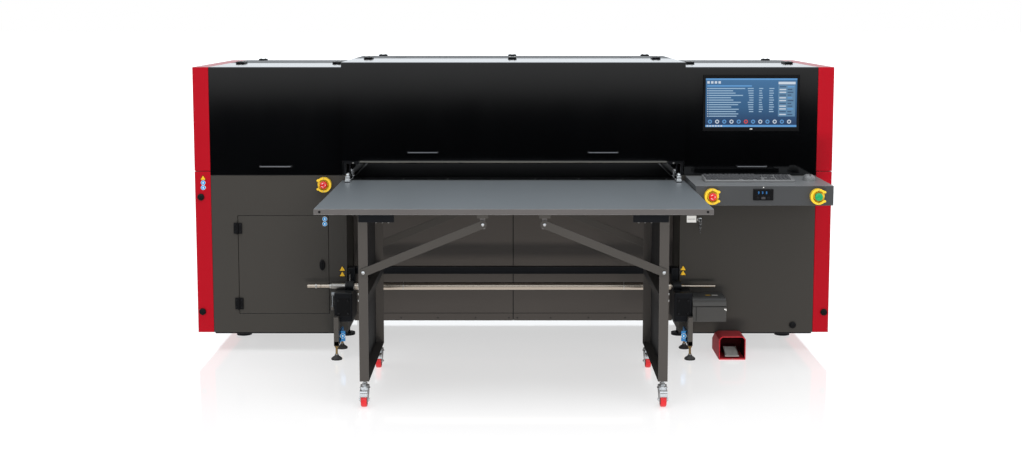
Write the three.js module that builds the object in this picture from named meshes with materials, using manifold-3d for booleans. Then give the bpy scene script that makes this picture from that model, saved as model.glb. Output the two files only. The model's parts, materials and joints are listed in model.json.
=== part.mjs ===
// Flatbed UV printer with a roll-fed front table, as an assembly of separate named pieces.
// Millimetres, X to the right, Y to the back, Z up. The origin is on the floor under the
// middle of the machine's width, and Y = 0 is the front plane of the side cabinets.

import * as THREE from "three";
import { mergeVertices } from "three/addons/utils/BufferGeometryUtils.js";
import Module from "manifold-3d";

const wasm = await Module();
wasm.setup();

// ---------------------------------------------------------------- driving dimensions

const GAP = 0.4; // between pieces that sit against each other
const SEAM = 3; // visible joint between two covers
const SHEET = 3; // cabinet and table sheet metal
const SKIN = 4; // hoods and red side panels

const BODY_HALF_WIDTH = 1735;
const BODY_DEPTH = 1120;
const BODY_BOTTOM = 108; // underside of the cabinets above the floor
const COLUMN_WIDTH = 86; // red side columns
const RECESS_HALF_WIDTH = 911; // leg room between the two cabinets
const BED_TOP = 950; // table and belt surface
const SPLIT_RISE = 29; // joint between cabinets and hoods above the bed
const HOOD_HEIGHT = 588;
const RECESS_DEPTH = 295;

const HOOD_HINGE_Y = 600;
const HOOD_HINGE_RISE = 5; // hinge pin above the top sheet
const CENTRE_OVERLAP = 16; // centre hood beyond the recess on each side
const CENTRE_RISE = 27; // centre hood above the side hoods
const CENTRE_FORWARD = 40; // centre hood in front of the side hoods
const SLOT_HEIGHT = 111; // lower edge of the centre hood above the bed
const HOOD_FLANGE = 34; // folded ends of the hoods

const DOOR_OUTER_INSET = 231; // door edge from the machine's outside
const DOOR_INNER_INSET = 101; // door edge from the recess
const DOOR_HEIGHT = 541;
const DOOR_BOTTOM = 214;
const DOOR_HINGE_OFFSET = 3; // pin beyond the door's edge
const DOOR_HINGE_Y = -8;
const DOOR_FLANGE = 12;
const DOOR_CLEARANCE = 2.5;

const MONITOR_WIDTH = 521;
const MONITOR_HEIGHT = 301;
const MONITOR_DEPTH = 44;
const MONITOR_TOP_INSET = 44; // below the hood's top
const MONITOR_PROUD = 3;

const RAIL = 76; // base frame tube
const FRAME_BOTTOM = 112;
const FRAME_FRONT_Y = 380;
const FRAME_REAR_INSET = 40; // rear rail from the machine's back
const FRAME_OUTER_INSET = 135; // from the machine's outside
const FRAME_INNER_INSET = 89; // from the recess
const FRAME_TOE_Y = 60; // front ends of the frame's cross rails
const FOOT_RADIUS = 44;
const FOOT_THICKNESS = 14;
const FOOT_STEM_RADIUS = 15;
const FRAME_CLEARANCE = 3; // round a frame tube where it passes through a sheet

const BEAM_RISE = 230; // underside above the bed
const BEAM_HEIGHT = 160;
const BEAM_DEPTH = 130;
const BEAM_Y = 430;
const BEAM_OVERHANG = 5; // beyond the frame's posts
const BEAM_RAIL = 18; // linear rail on the front of the beam

const CARRIAGE_WIDTH = 420;
const CARRIAGE_DEPTH = 225;
const CARRIAGE_HEIGHT = 330;
const HEAD_CLEARANCE = 56; // underside of the carriage above the bed

const BED_SIDE_INSET = 31; // belt edge inside the recess
const BELT_THICKNESS = 2;
const BELT_ROLLER_RADIUS = 38;
const BELT_FRONT_Y = 222;
const BELT_REAR_INSET = 70; // idler roller from the machine's back
const BED_SIDE_PLATE = 18;
const BED_PLATE_THICKNESS = 10;

const GUIDE_RADIUS = 20; // guide roller over the bed entry
const GUIDE_Y = 10;
const GUIDE_RISE = 112; // roller axis above the bed
const GUIDE_INSET = 75; // roller end inside the recess
const GUIDE_JOURNAL = 9;

const CONSOLE_TABLE_GAP = 4;
const CONSOLE_OUTER_INSET = 91; // from the machine's outside
const CONSOLE_DEPTH = 447;
const CONSOLE_RISE = 26; // top above the bed
const CONSOLE_HEIGHT = 102;
const CONSOLE_BUTTON_DROP = 53; // button centre under the console's top

const DOCK_INSET = 18; // clamp's middle inside the recess
const DOCK_WIDTH = 28;
const DOCK_FRONT = -95;
const DOCK_REAR = 130;
const DOCK_REBATE = 1; // depth of the rebates for the clamps in the table's rear corners

const TABLE_OVERLAP = 21; // table beyond the recess on each side
const TABLE_FRONT = -1120;
const TABLE_REAR = -4;
const TABLE_LIP = 27;
const LEG_INSET = 201; // leg's outside from the table's edge
const LEG_FLANGE = 45;
const LEG_FRONT = -1080;
const LEG_REAR = -287;
const LEG_BOTTOM = 118;
const LEG_MID_RAIL_Z = 516;
const LEG_MID_RAIL = 40;
const LEG_TOP_PLATE = 165; // sideways bearer under the table
const BRACE_WIDTH = 38;
const BRACE_THICKNESS = 6;
const BRACE_FOOT_INSET = 23; // lower bolt from the leg's outside
const BRACE_FOOT_Z = 643;
const BRACE_HEAD_X = 145;
const BRACE_HEAD_DROP = 78; // upper bolt under the table surface

const WHEEL_RADIUS = 35;
const WHEEL_WIDTH = 28;
const CASTER_TRAIL = 38;
const CASTER_STEM_INSET = 18; // stem behind the leg's front face or before its rear face
const BRAKE_REACH = 66; // toe of the brake lever in front of the stem
const CHEEK = 3; // thickness of the fork's side plates

const SUPPORT_OUTSET = 55; // outer face beyond the recess
const SUPPORT_WIDTH = 98;
const SUPPORT_FRONT = -150;
const SUPPORT_BOTTOM = 198;
const SUPPORT_TOP = 358;
const SUPPORT_REAR = 78;
const SHAFT_Y = -62;
const SHAFT_Z = 379;
const CHUCK_RADIUS = 28;
const SHAFT_RUNNING_GAP = 0.7;
const SLEEVE_RADIUS = 15.5;
const TUBE_RADIUS = 20.5;
const SHAFT_END_RADIUS = 7.5;
const SHAFT_LEFT_REACH = 156; // beyond the support's outer face
const SHAFT_RIGHT_REACH = 134;
const TIE_BAR = 40;
const TIE_BAR_Z = 446;

const MOTOR_WIDTH = 181;
const MOTOR_BOTTOM = 203;
const MOTOR_TOP = 330;

const PEDAL_OUTSET = 196; // pedal's left side beyond the recess
const PEDAL_WIDTH = 144;
const PEDAL_FRONT = -190;
const PEDAL_REAR = 70;
const PEDAL_HEIGHT = 128;
const PEDAL_REAR_HEIGHT = 62;
const PEDAL_WALL = 6;

// ---------------------------------------------------------------- shared places

const BODY_SPLIT = BED_TOP + SPLIT_RISE;
const SIDE_TOP = BODY_SPLIT + HOOD_HEIGHT;
const CENTRE_HALF_WIDTH = RECESS_HALF_WIDTH + CENTRE_OVERLAP;
const CENTRE_BOTTOM = BED_TOP + SLOT_HEIGHT;
const BED_HALF_WIDTH = RECESS_HALF_WIDTH - BED_SIDE_INSET;
const DOCK_X = RECESS_HALF_WIDTH - DOCK_INSET;
const TABLE_HALF_WIDTH = RECESS_HALF_WIDTH + TABLE_OVERLAP;
const LEG_OUTER_X = TABLE_HALF_WIDTH - LEG_INSET;
const FRAME_OUTER_X = BODY_HALF_WIDTH - FRAME_OUTER_INSET;
const FRAME_INNER_X = RECESS_HALF_WIDTH + FRAME_INNER_INSET;
const FRAME_REAR_Y = BODY_DEPTH - FRAME_REAR_INSET - RAIL;
const BEAM_BOTTOM = BED_TOP + BEAM_RISE;
const BEAM_HALF_LENGTH = FRAME_OUTER_X + BEAM_OVERHANG;
const BELT_REAR_Y = BODY_DEPTH - BELT_REAR_INSET;
const GUIDE_Z = BED_TOP + GUIDE_RISE;
const GUIDE_HALF_LENGTH = RECESS_HALF_WIDTH - GUIDE_INSET;
const CONSOLE_LEFT = TABLE_HALF_WIDTH + CONSOLE_TABLE_GAP;
const CONSOLE_RIGHT = BODY_HALF_WIDTH - CONSOLE_OUTER_INSET;
const CONSOLE_TOP = BED_TOP + CONSOLE_RISE;
const SUPPORT_OUTER_X = RECESS_HALF_WIDTH + SUPPORT_OUTSET;
const SUPPORT_INNER_X = SUPPORT_OUTER_X - SUPPORT_WIDTH;
const SIDE_MIDDLE_X = (CENTRE_HALF_WIDTH + BODY_HALF_WIDTH - COLUMN_WIDTH) / 2;

// ---------------------------------------------------------------- materials

const colours = {
  frame: [0x2b2d30, 0.5, 0.6],
  sheet: [0x46433f, 0.55, 0.3],
  gloss: [0x07090b, 0.12, 0.1],
  red: [0xbd192d, 0.35, 0.1],
  alloy: [0x8e9498, 0.4, 0.9],
  steel: [0xc9c4bc, 0.25, 1],
  black: [0x14161a, 0.5, 0.2],
  belt: [0x24262a, 0.8, 0],
  green: [0x2f8f4a, 0.4, 0],
};

function material(key) {
  const [color, roughness, metalness] = colours[key];
  return new THREE.MeshStandardMaterial({ color, roughness, metalness });
}

// ---------------------------------------------------------------- solids

// A box from its low and high values on each axis.
function box([x0, x1], [y0, y1], [z0, z1]) {
  const made = new THREE.BoxGeometry(x1 - x0, y1 - y0, z1 - z0);
  return made.translate((x0 + x1) / 2, (y0 + y1) / 2, (z0 + z1) / 2);
}

// A box given by its middle and size in X.
const wideBox = (x, width, ys, zs) => box([x - width / 2, x + width / 2], ys, zs);

// A cylinder along X, Y or Z, from a to b on that axis.
function rod(axis, radius, a, b, u = 0, v = 0, sides = 20) {
  const made = new THREE.CylinderGeometry(radius, radius, b - a, sides);
  const mid = (a + b) / 2;
  if (axis === "x") return made.rotateZ(Math.PI / 2).translate(mid, u, v);
  if (axis === "y") return made.translate(u, mid, v);
  return made.rotateX(Math.PI / 2).translate(u, v, mid);
}

// An outline in the YZ plane, drawn out along X from x0 to x1.
function profileX(outline, x0, x1, holes = []) {
  const shape = new THREE.Shape(outline.map(([y, z]) => new THREE.Vector2(y, z)));
  for (const hole of holes) {
    shape.holes.push(new THREE.Path(hole.map(([y, z]) => new THREE.Vector2(y, z))));
  }
  const made = new THREE.ExtrudeGeometry(shape, { depth: x1 - x0, bevelEnabled: false });
  // The outline's first axis becomes Y, its second Z, and the depth X.
  const turn = new THREE.Matrix4().makeBasis(
    new THREE.Vector3(0, 1, 0),
    new THREE.Vector3(0, 0, 1),
    new THREE.Vector3(1, 0, 0),
  );
  return made.applyMatrix4(turn).translate(x0, 0, 0);
}

// An outline in the XZ plane, drawn out along Y from y0 back to y1.
function profileY(outline, y0, y1) {
  const shape = new THREE.Shape(outline.map(([x, z]) => new THREE.Vector2(x, z)));
  const made = new THREE.ExtrudeGeometry(shape, { depth: y1 - y0, bevelEnabled: false });
  return made.rotateX(Math.PI / 2).translate(0, y1, 0);
}

// A solid of revolution about X, from [x, radius] points whose ends lie on the axis.
function turnedX(points) {
  const outline = points.map(([x, r]) => new THREE.Vector2(r, x));
  return new THREE.LatheGeometry(outline, 20).rotateZ(-Math.PI / 2);
}

function toSolid(geometry) {
  const bare = geometry.index ? geometry.toNonIndexed() : geometry.clone();
  bare.deleteAttribute("normal");
  bare.deleteAttribute("uv");
  const merged = mergeVertices(bare, 1e-3);
  return new wasm.Manifold(
    new wasm.Mesh({
      numProp: 3,
      vertProperties: merged.attributes.position.array,
      triVerts: new Uint32Array(merged.index.array),
    }),
  );
}

function toGeometry(solid) {
  const mesh = solid.getMesh();
  const made = new THREE.BufferGeometry();
  made.setAttribute("position", new THREE.BufferAttribute(new Float32Array(mesh.vertProperties), 3));
  made.setIndex(new THREE.BufferAttribute(new Uint32Array(mesh.triVerts), 1));
  const flat = made.toNonIndexed();
  flat.computeVertexNormals();
  return flat;
}

function join(...geometries) {
  return toGeometry(geometries.map(toSolid).reduce((a, b) => a.add(b)));
}

function cut(geometry, ...tools) {
  return toGeometry(tools.map(toSolid).reduce((a, b) => a.subtract(b), toSolid(geometry)));
}

const common = (a, b) => toGeometry(toSolid(a).intersect(toSolid(b)));

const printer = new THREE.Group();

function add(name, geometry, key, parent = printer, at = [0, 0, 0]) {
  const mesh = new THREE.Mesh(geometry, material(key));
  mesh.name = name;
  mesh.position.set(...at);
  parent.add(mesh);
  return mesh;
}

function groupAt(x, y, z, parent = printer) {
  const made = new THREE.Group();
  made.position.set(x, y, z);
  parent.add(made);
  return made;
}

const SIDES = [
  ["left", -1],
  ["right", 1],
];

// The span from a to b on the left (side -1) or right (side 1), low value first.
const span = (side, a, b) => (side < 0 ? [-b, -a] : [a, b]);
const grow = ([a, b], by) => [a - by, b + by];

// ---------------------------------------------------------------- base frame

const railZ = [FRAME_BOTTOM, FRAME_BOTTOM + RAIL];
const frontRailY = [FRAME_FRONT_Y, FRAME_FRONT_Y + RAIL];
const rearRailY = [FRAME_REAR_Y, FRAME_REAR_Y + RAIL];
const postY = [BEAM_Y + 20, BEAM_Y + 20 + RAIL];
const outerRailX = [FRAME_OUTER_X - RAIL, FRAME_OUTER_X];
const innerRailX = [FRAME_INNER_X - RAIL, FRAME_INNER_X];
const bedPlateTop = BED_TOP - BED_PLATE_THICKNESS - GAP;
const bedPostZ = [FRAME_BOTTOM, BED_TOP - 150]; // posts end under the belt

// Welded ladder frame on levelling feet, with posts for the gantry and side plates for the bed.
function baseFrame() {
  const pieces = [
    box([-FRAME_OUTER_X, FRAME_OUTER_X], frontRailY, railZ),
    box([-FRAME_OUTER_X, FRAME_OUTER_X], rearRailY, railZ),
  ];
  for (const [, side] of SIDES) {
    const outer = span(side, ...outerRailX);
    const inner = span(side, ...innerRailX);
    const bedSide = span(side, BED_HALF_WIDTH + 4, BED_HALF_WIDTH + 4 + BED_SIDE_PLATE);
    const bedPost = span(side, BED_HALF_WIDTH - 60, BED_HALF_WIDTH + 4 + BED_SIDE_PLATE);
    const plateY = [BELT_FRONT_Y + 90, BELT_REAR_Y + 30];
    pieces.push(box(outer, [FRAME_TOE_Y, rearRailY[1]], railZ));
    pieces.push(box(inner, [FRAME_TOE_Y, rearRailY[1]], railZ));
    pieces.push(box(outer, postY, [FRAME_BOTTOM, BEAM_BOTTOM - GAP]));
    pieces.push(box(bedPost, frontRailY, bedPostZ));
    pieces.push(box(bedPost, rearRailY, bedPostZ));
    pieces.push(box(bedSide, plateY, [bedPostZ[1] - 20, bedPlateTop]));
    for (const x of [FRAME_OUTER_X - RAIL / 2, FRAME_INNER_X - RAIL / 2]) {
      for (const y of [frontRailY[0] + RAIL / 2, rearRailY[0] + RAIL / 2]) {
        pieces.push(rod("z", FOOT_STEM_RADIUS, FOOT_THICKNESS / 2, FRAME_BOTTOM + 10, side * x, y, 12));
        pieces.push(rod("z", FOOT_RADIUS, 0, FOOT_THICKNESS, side * x, y, 20));
      }
    }
  }
  return join(...pieces);
}

// ---------------------------------------------------------------- cabinets and covers

const doorX = [DOOR_OUTER_INSET - BODY_HALF_WIDTH, -RECESS_HALF_WIDTH - DOOR_INNER_INSET];
const doorZ = [DOOR_BOTTOM, DOOR_BOTTOM + DOOR_HEIGHT];
const sideSpan = [RECESS_HALF_WIDTH, BODY_HALF_WIDTH - COLUMN_WIDTH - 1];
const rearPanelY = [BODY_DEPTH - SHEET, BODY_DEPTH];
const cabinetTop = BODY_SPLIT - SEAM / 2;

// Folded cabinet: front, both sides and top deck, open at the back and underneath.
function cabinetShell(side) {
  const outside = box(span(side, ...sideSpan), [0, rearPanelY[0] - GAP], [BODY_BOTTOM, cabinetTop]);
  const insideX = span(side, sideSpan[0] + SHEET, sideSpan[1] - SHEET);
  const inside = box(insideX, [SHEET, BODY_DEPTH + 10], [BODY_BOTTOM - 10, cabinetTop - SHEET]);
  const innerWallX = span(side, RECESS_HALF_WIDTH - 5, RECESS_HALF_WIDTH + 10);
  const tools = [inside];
  for (const y of [frontRailY, rearRailY]) {
    tools.push(box(innerWallX, grow(y, FRAME_CLEARANCE), [BODY_BOTTOM - 5, railZ[1] + FRAME_CLEARANCE]));
  }
  const postX = grow(span(side, ...outerRailX), FRAME_CLEARANCE);
  tools.push(box(postX, grow(postY, FRAME_CLEARANCE), [cabinetTop - 20, cabinetTop + 20]));
  if (side < 0) {
    tools.push(box(grow(doorX, DOOR_CLEARANCE), [-5, 20], grow(doorZ, DOOR_CLEARANCE)));
  }
  return cut(outside, ...tools);
}

// Red side panel: a shallow tray open towards the machine.
function sidePanel(side, zs) {
  const xs = [BODY_HALF_WIDTH - COLUMN_WIDTH, BODY_HALF_WIDTH];
  const outside = box(span(side, ...xs), [0, BODY_DEPTH], zs);
  const insideX = span(side, xs[0] - 5, xs[1] - SKIN);
  return cut(outside, box(insideX, [SKIN, BODY_DEPTH - SKIN], grow(zs, -SKIN)));
}

// Hood in the frame of its hinge pin: front sheet, top sheet and folded ends.
function hoodShell(xs, front, top, bottom) {
  const [y0, y1] = [front - HOOD_HINGE_Y, -SEAM];
  const [z0, z1] = [bottom - top - HOOD_HINGE_RISE, -HOOD_HINGE_RISE];
  const bevel = 4; // along the front top edge
  const outside = [
    [y0, z0],
    [y0 + HOOD_FLANGE, z0],
    [y0 + HOOD_FLANGE, z1 - HOOD_FLANGE],
    [y1, z1 - HOOD_FLANGE],
    [y1, z1],
    [y0 + bevel, z1],
    [y0, z1 - bevel],
  ];
  const beyond = 10;
  const hollow = [
    [y0 + SKIN, z0 - beyond],
    [y0 + HOOD_FLANGE + beyond, z0 - beyond],
    [y0 + HOOD_FLANGE + beyond, z1 - HOOD_FLANGE - beyond],
    [y1 + beyond, z1 - HOOD_FLANGE - beyond],
    [y1 + beyond, z1 - SKIN],
    [y0 + SKIN, z1 - SKIN],
  ];
  return cut(profileX(outside, ...xs), profileX(hollow, xs[0] + SHEET, xs[1] - SHEET));
}

// Fixed rear cover behind a hood: top sheet and back wall.
function rearCover(xs, top, bottom = BODY_SPLIT + SEAM / 2) {
  const [y0, y1] = [HOOD_HINGE_Y + SEAM, BODY_DEPTH];
  const outline = [
    [y0, top - SKIN],
    [y1 - SKIN, top - SKIN],
    [y1 - SKIN, bottom],
    [y1, bottom],
    [y1, top],
    [y0, top],
  ];
  return profileX(outline, xs[0], xs[1]);
}

function addBody() {
  add("base_frame", baseFrame(), "frame");
  const splitLow = BODY_SPLIT + 22;
  for (const [name, side] of SIDES) {
    add(name + "_cabinet_shell", cabinetShell(side), "sheet");
    add(name + "_side_panel_lower", sidePanel(side, [BODY_BOTTOM, splitLow - SEAM / 2]), "red");
    add(name + "_side_panel_upper", sidePanel(side, [splitLow + SEAM / 2, SIDE_TOP]), "red");
    const xs = span(side, CENTRE_HALF_WIDTH + SEAM, sideSpan[1]);
    add(name + "_rear_cover", rearCover(xs, SIDE_TOP), "black");
    const hinge = groupAt(0, HOOD_HINGE_Y, SIDE_TOP + HOOD_HINGE_RISE);
    const shell = hoodShell(xs, 0, SIDE_TOP, BODY_SPLIT + SEAM / 2);
    add(name + "_hood", side > 0 ? cut(shell, monitorOpening()) : shell, "gloss", hinge);
    const panelX = span(side, 1, RECESS_HALF_WIDTH - SHEET);
    const panelZ = [BODY_BOTTOM, BED_TOP - 180];
    add("centre_panel_" + name, box(panelX, [RECESS_DEPTH, RECESS_DEPTH + SHEET], panelZ), "sheet");
  }
  const centreX = [-CENTRE_HALF_WIDTH, CENTRE_HALF_WIDTH];
  const centreTop = SIDE_TOP + CENTRE_RISE;
  add("centre_rear_cover", rearCover(centreX, centreTop, CENTRE_BOTTOM), "black");
  const hinge = groupAt(0, HOOD_HINGE_Y, centreTop + HOOD_HINGE_RISE);
  add("centre_hood", hoodShell(centreX, -CENTRE_FORWARD, centreTop, CENTRE_BOTTOM), "gloss", hinge);
  const rearX = [-sideSpan[1], sideSpan[1]];
  const exitX = [-RECESS_HALF_WIDTH, RECESS_HALF_WIDTH];
  const exitZ = [BED_TOP - BED_PLATE_THICKNESS, cabinetTop + 5];
  const panel = box(rearX, rearPanelY, [BODY_BOTTOM, cabinetTop]);
  add("rear_lower_panel", cut(panel, box(exitX, grow(rearPanelY, 5), exitZ)), "sheet");
}

// ---------------------------------------------------------------- monitor in the right hood

const monitorTop = SIDE_TOP - MONITOR_TOP_INSET;
const monitorZ = [monitorTop - MONITOR_HEIGHT, monitorTop];

function monitorOpening() {
  const z = monitorZ.map((value) => value - SIDE_TOP - HOOD_HINGE_RISE);
  const y = [-HOOD_HINGE_Y - 10, -HOOD_HINGE_Y + 20];
  return wideBox(SIDE_MIDDLE_X, MONITOR_WIDTH + 1, y, grow(z, 0.5));
}

function addMonitor() {
  add("monitor", wideBox(SIDE_MIDDLE_X, MONITOR_WIDTH, [-MONITOR_PROUD, MONITOR_DEPTH], monitorZ), "black");
}

// ---------------------------------------------------------------- left door

function addDoor() {
  const hingeX = doorX[0] - DOOR_HINGE_OFFSET;
  const hinge = groupAt(hingeX, DOOR_HINGE_Y, 0);
  const xs = doorX.map((x) => x - hingeX);
  const ys = [-DOOR_HINGE_Y, -DOOR_HINGE_Y + DOOR_FLANGE];
  const tray = box(xs, ys, doorZ);
  const hollow = box(grow(xs, -SHEET), [ys[0] + SHEET, ys[1] + 5], grow(doorZ, -SHEET));
  add("left_door", cut(tray, hollow), "sheet", hinge);
  const latch = groupAt(doorX[1] - 34, -GAP, 484);
  const grip = rod("y", 15, -14, 0, 0, 0, 20).scale(1, 1, 1.9);
  add("door_latch", grip, "black", latch);
}

// ---------------------------------------------------------------- gantry and print carriage

function addGantry() {
  const ys = [BEAM_Y, BEAM_Y + BEAM_DEPTH];
  const zs = [BEAM_BOTTOM, BEAM_BOTTOM + BEAM_HEIGHT];
  const beam = box([-BEAM_HALF_LENGTH, BEAM_HALF_LENGTH], ys, zs);
  const railX = [-BEAM_HALF_LENGTH + 40, BEAM_HALF_LENGTH - 40];
  const middle = (zs[0] + zs[1]) / 2;
  const rail = box(railX, [BEAM_Y - BEAM_RAIL, BEAM_Y + 1], [middle - 12, middle + 12]);
  add("gantry_beam", join(beam, rail), "alloy");

  const rear = BEAM_Y - BEAM_RAIL - GAP;
  const bottom = BED_TOP + HEAD_CLEARANCE;
  const carriage = groupAt(SIDE_MIDDLE_X, rear, bottom);
  const half = CARRIAGE_WIDTH / 2;
  const upper = box([-half, half], [-CARRIAGE_DEPTH, 0], [40, CARRIAGE_HEIGHT]);
  const heads = box([-half + 70, half - 70], [-CARRIAGE_DEPTH + 20, -20], [0, 45]);
  add("print_carriage", join(upper, heads), "black", carriage);

  const station = box([-150, 150], [-CARRIAGE_DEPTH + 20, -20], [cabinetTop + GAP, bottom - 6]);
  add("capping_station", station, "alloy", printer, [SIDE_MIDDLE_X, rear, 0]);
}

// ---------------------------------------------------------------- ink tanks behind the door

function addInkTanks() {
  const width = 460;
  const tray = box([0, width], [0, 210], [0, 18]);
  const bottles = [];
  for (let i = 0; i < 4; i += 1) {
    bottles.push(rod("z", 48, 17, 250, 60 + (i * (width - 120)) / 3, 105, 16));
  }
  const at = [FRAME_OUTER_X * -1 + RAIL + 30, FRAME_FRONT_Y - 240, railZ[1] + 60];
  const legs = [20, width - 20].map((x) => box([x - 15, x + 15], [40, 300], [-60 + GAP, 1]));
  add("ink_tank_rack", join(tray, ...legs, ...bottles), "black", printer, at);
}

// ---------------------------------------------------------------- bed and media transport

const beltOuter = BELT_ROLLER_RADIUS + GAP + BELT_THICKNESS;
const beltAxisZ = BED_TOP - beltOuter;

// A closed loop round both rollers, as [y, z] points.
function loopOutline(radius, steps) {
  const points = [];
  for (let i = 0; i <= steps; i += 1) {
    const a = Math.PI / 2 + (Math.PI * i) / steps;
    points.push([BELT_FRONT_Y + radius * Math.cos(a), beltAxisZ + radius * Math.sin(a)]);
  }
  for (let i = 0; i <= steps; i += 1) {
    const a = -Math.PI / 2 + (Math.PI * i) / steps;
    points.push([BELT_REAR_Y + radius * Math.cos(a), beltAxisZ + radius * Math.sin(a)]);
  }
  return points;
}

function addBed() {
  const half = BED_HALF_WIDTH;
  const steps = 14;
  const innerLoop = loopOutline(beltOuter - BELT_THICKNESS, steps);
  add("transport_belt", profileX(loopOutline(beltOuter, steps), -half, half, [innerLoop]), "belt");
  for (const [name, y] of [["drive_roller", BELT_FRONT_Y], ["idler_roller", BELT_REAR_Y]]) {
    const roller = groupAt(0, y, beltAxisZ);
    const ends = half + 2.5;
    const outline = [
      [-ends, 0],
      [-ends, 14],
      [-half + 12, 14],
      [-half + 12, BELT_ROLLER_RADIUS],
      [half - 12, BELT_ROLLER_RADIUS],
      [half - 12, 14],
      [ends, 14],
      [ends, 0],
    ];
    add(name, turnedX(outline), "steel", roller);
  }
  const entryX = [-RECESS_HALF_WIDTH + SHEET, RECESS_HALF_WIDTH - SHEET];
  const entryY = [TABLE_REAR + 6, BELT_FRONT_Y - beltOuter - 2];
  const entryZ = [BED_TOP - BED_PLATE_THICKNESS, BED_TOP];
  add("bed_entry_plate", box(entryX, entryY, entryZ), "sheet");
}

// ---------------------------------------------------------------- guide roller over the entry

function addGuideRoller() {
  const ends = GUIDE_HALF_LENGTH + 24;
  const outline = [
    [-ends, 0],
    [-ends, GUIDE_JOURNAL],
    [-GUIDE_HALF_LENGTH, GUIDE_JOURNAL],
    [-GUIDE_HALF_LENGTH, GUIDE_RADIUS],
    [GUIDE_HALF_LENGTH, GUIDE_RADIUS],
    [GUIDE_HALF_LENGTH, GUIDE_JOURNAL],
    [ends, GUIDE_JOURNAL],
    [ends, 0],
  ];
  add("guide_roller", turnedX(outline), "steel", groupAt(0, GUIDE_Y, GUIDE_Z));
  // Each bracket stands on the cabinet deck in the gap between the hoods and holds a bearing.
  for (const [name, side] of SIDES) {
    const blockZ = [GUIDE_Z - 22, GUIDE_Z + 22];
    const standX = span(side, RECESS_HALF_WIDTH + 1, CENTRE_HALF_WIDTH - 1);
    const standY = [GUIDE_Y + 2, GUIDE_Y + 22];
    const block = box(span(side, GUIDE_HALF_LENGTH + 6, ends + 4), grow([GUIDE_Y, GUIDE_Y], 24), blockZ);
    const reach = box(span(side, ends + 3, CENTRE_HALF_WIDTH - 1), standY, blockZ);
    const stand = box(standX, standY, [cabinetTop + GAP, GUIDE_Z]);
    const boreX = span(side, GUIDE_HALF_LENGTH, ends + 1);
    const bore = rod("x", GUIDE_JOURNAL + SHAFT_RUNNING_GAP, ...boreX, GUIDE_Y, GUIDE_Z);
    add("guide_bracket_" + name, cut(join(block, reach, stand), bore), "black");
  }
}

// ---------------------------------------------------------------- console, keyboard, controls

function mushroom(radius) {
  const points = [
    [0, 0],
    [11, 0],
    [11, 22],
    [radius - 2, 24],
    [radius, 28],
    [radius - 2, 34],
    [radius - 8, 37],
    [0, 37],
  ];
  const outline = points.map(([r, height]) => new THREE.Vector2(r, height));
  // Turned about its stem, which then points to the front.
  return new THREE.LatheGeometry(outline, 20).rotateX(Math.PI);
}

function addConsole() {
  const front = -GAP - CONSOLE_DEPTH;
  const zs = [CONSOLE_TOP - CONSOLE_HEIGHT, CONSOLE_TOP];
  const outside = box([CONSOLE_LEFT, CONSOLE_RIGHT], [front, -GAP], zs);
  const insideX = [CONSOLE_LEFT + SHEET, CONSOLE_RIGHT - SHEET];
  const inside = box(insideX, [front + SHEET, -GAP - SHEET], [zs[0] - 5, zs[1] - SHEET]);
  add("console_shelf", cut(outside, inside), "sheet");

  const keys = groupAt(SIDE_MIDDLE_X - 48, -222, CONSOLE_TOP + GAP);
  const wedge = [
    [-70, 0],
    [70, 0],
    [70, 24],
    [58, 25],
    [-66, 12],
    [-70, 9],
  ];
  add("keyboard", profileX(wedge, -235, 235), "black", keys);

  const travel = 7; // free stem behind a button
  const buttonZ = CONSOLE_TOP - CONSOLE_BUTTON_DROP;
  const inset = 83; // buttons from the console's ends
  const stop = groupAt(CONSOLE_LEFT + inset, front - travel, buttonZ);
  add("console_stop_button", mushroom(21), "red", stop);
  const start = groupAt(CONSOLE_RIGHT - inset, front - travel, buttonZ);
  add("start_button", mushroom(21), "green", start);
  const leftStop = groupAt(-RECESS_HALF_WIDTH - 119, -travel, BED_TOP - 21);
  add("left_stop_button", mushroom(21), "red", leftStop);
}

// ---------------------------------------------------------------- docking clamps

function addDockClamps() {
  for (const [name, side] of SIDES) {
    const dock = groupAt(side * DOCK_X, 0, BED_TOP + GAP);
    const bar = wideBox(0, DOCK_WIDTH, [DOCK_FRONT, DOCK_REAR], [0, 14]);
    const block = wideBox(0, DOCK_WIDTH - 4, [DOCK_FRONT + 5, DOCK_FRONT + 55], [13, 34]);
    const rear = wideBox(0, DOCK_WIDTH - 4, [DOCK_REAR - 50, DOCK_REAR - 10], [13, 40]);
    add("dock_clamp_" + name, join(bar, block, rear), "black", dock);
    const lever = groupAt(0, 30, 24, dock);
    const hub = rod("x", 9, -9, 9, 0, 0, 16);
    const handle = rod("z", 5, 4, 62, 0, 0, 12);
    add("dock_lever_" + name, join(hub, handle), "alloy", lever);
  }
}

// ---------------------------------------------------------------- front table

const legHeight = BED_TOP - TABLE_LIP - GAP - LEG_BOTTOM;
const braceHeadZ = BED_TOP - BRACE_HEAD_DROP;

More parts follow.
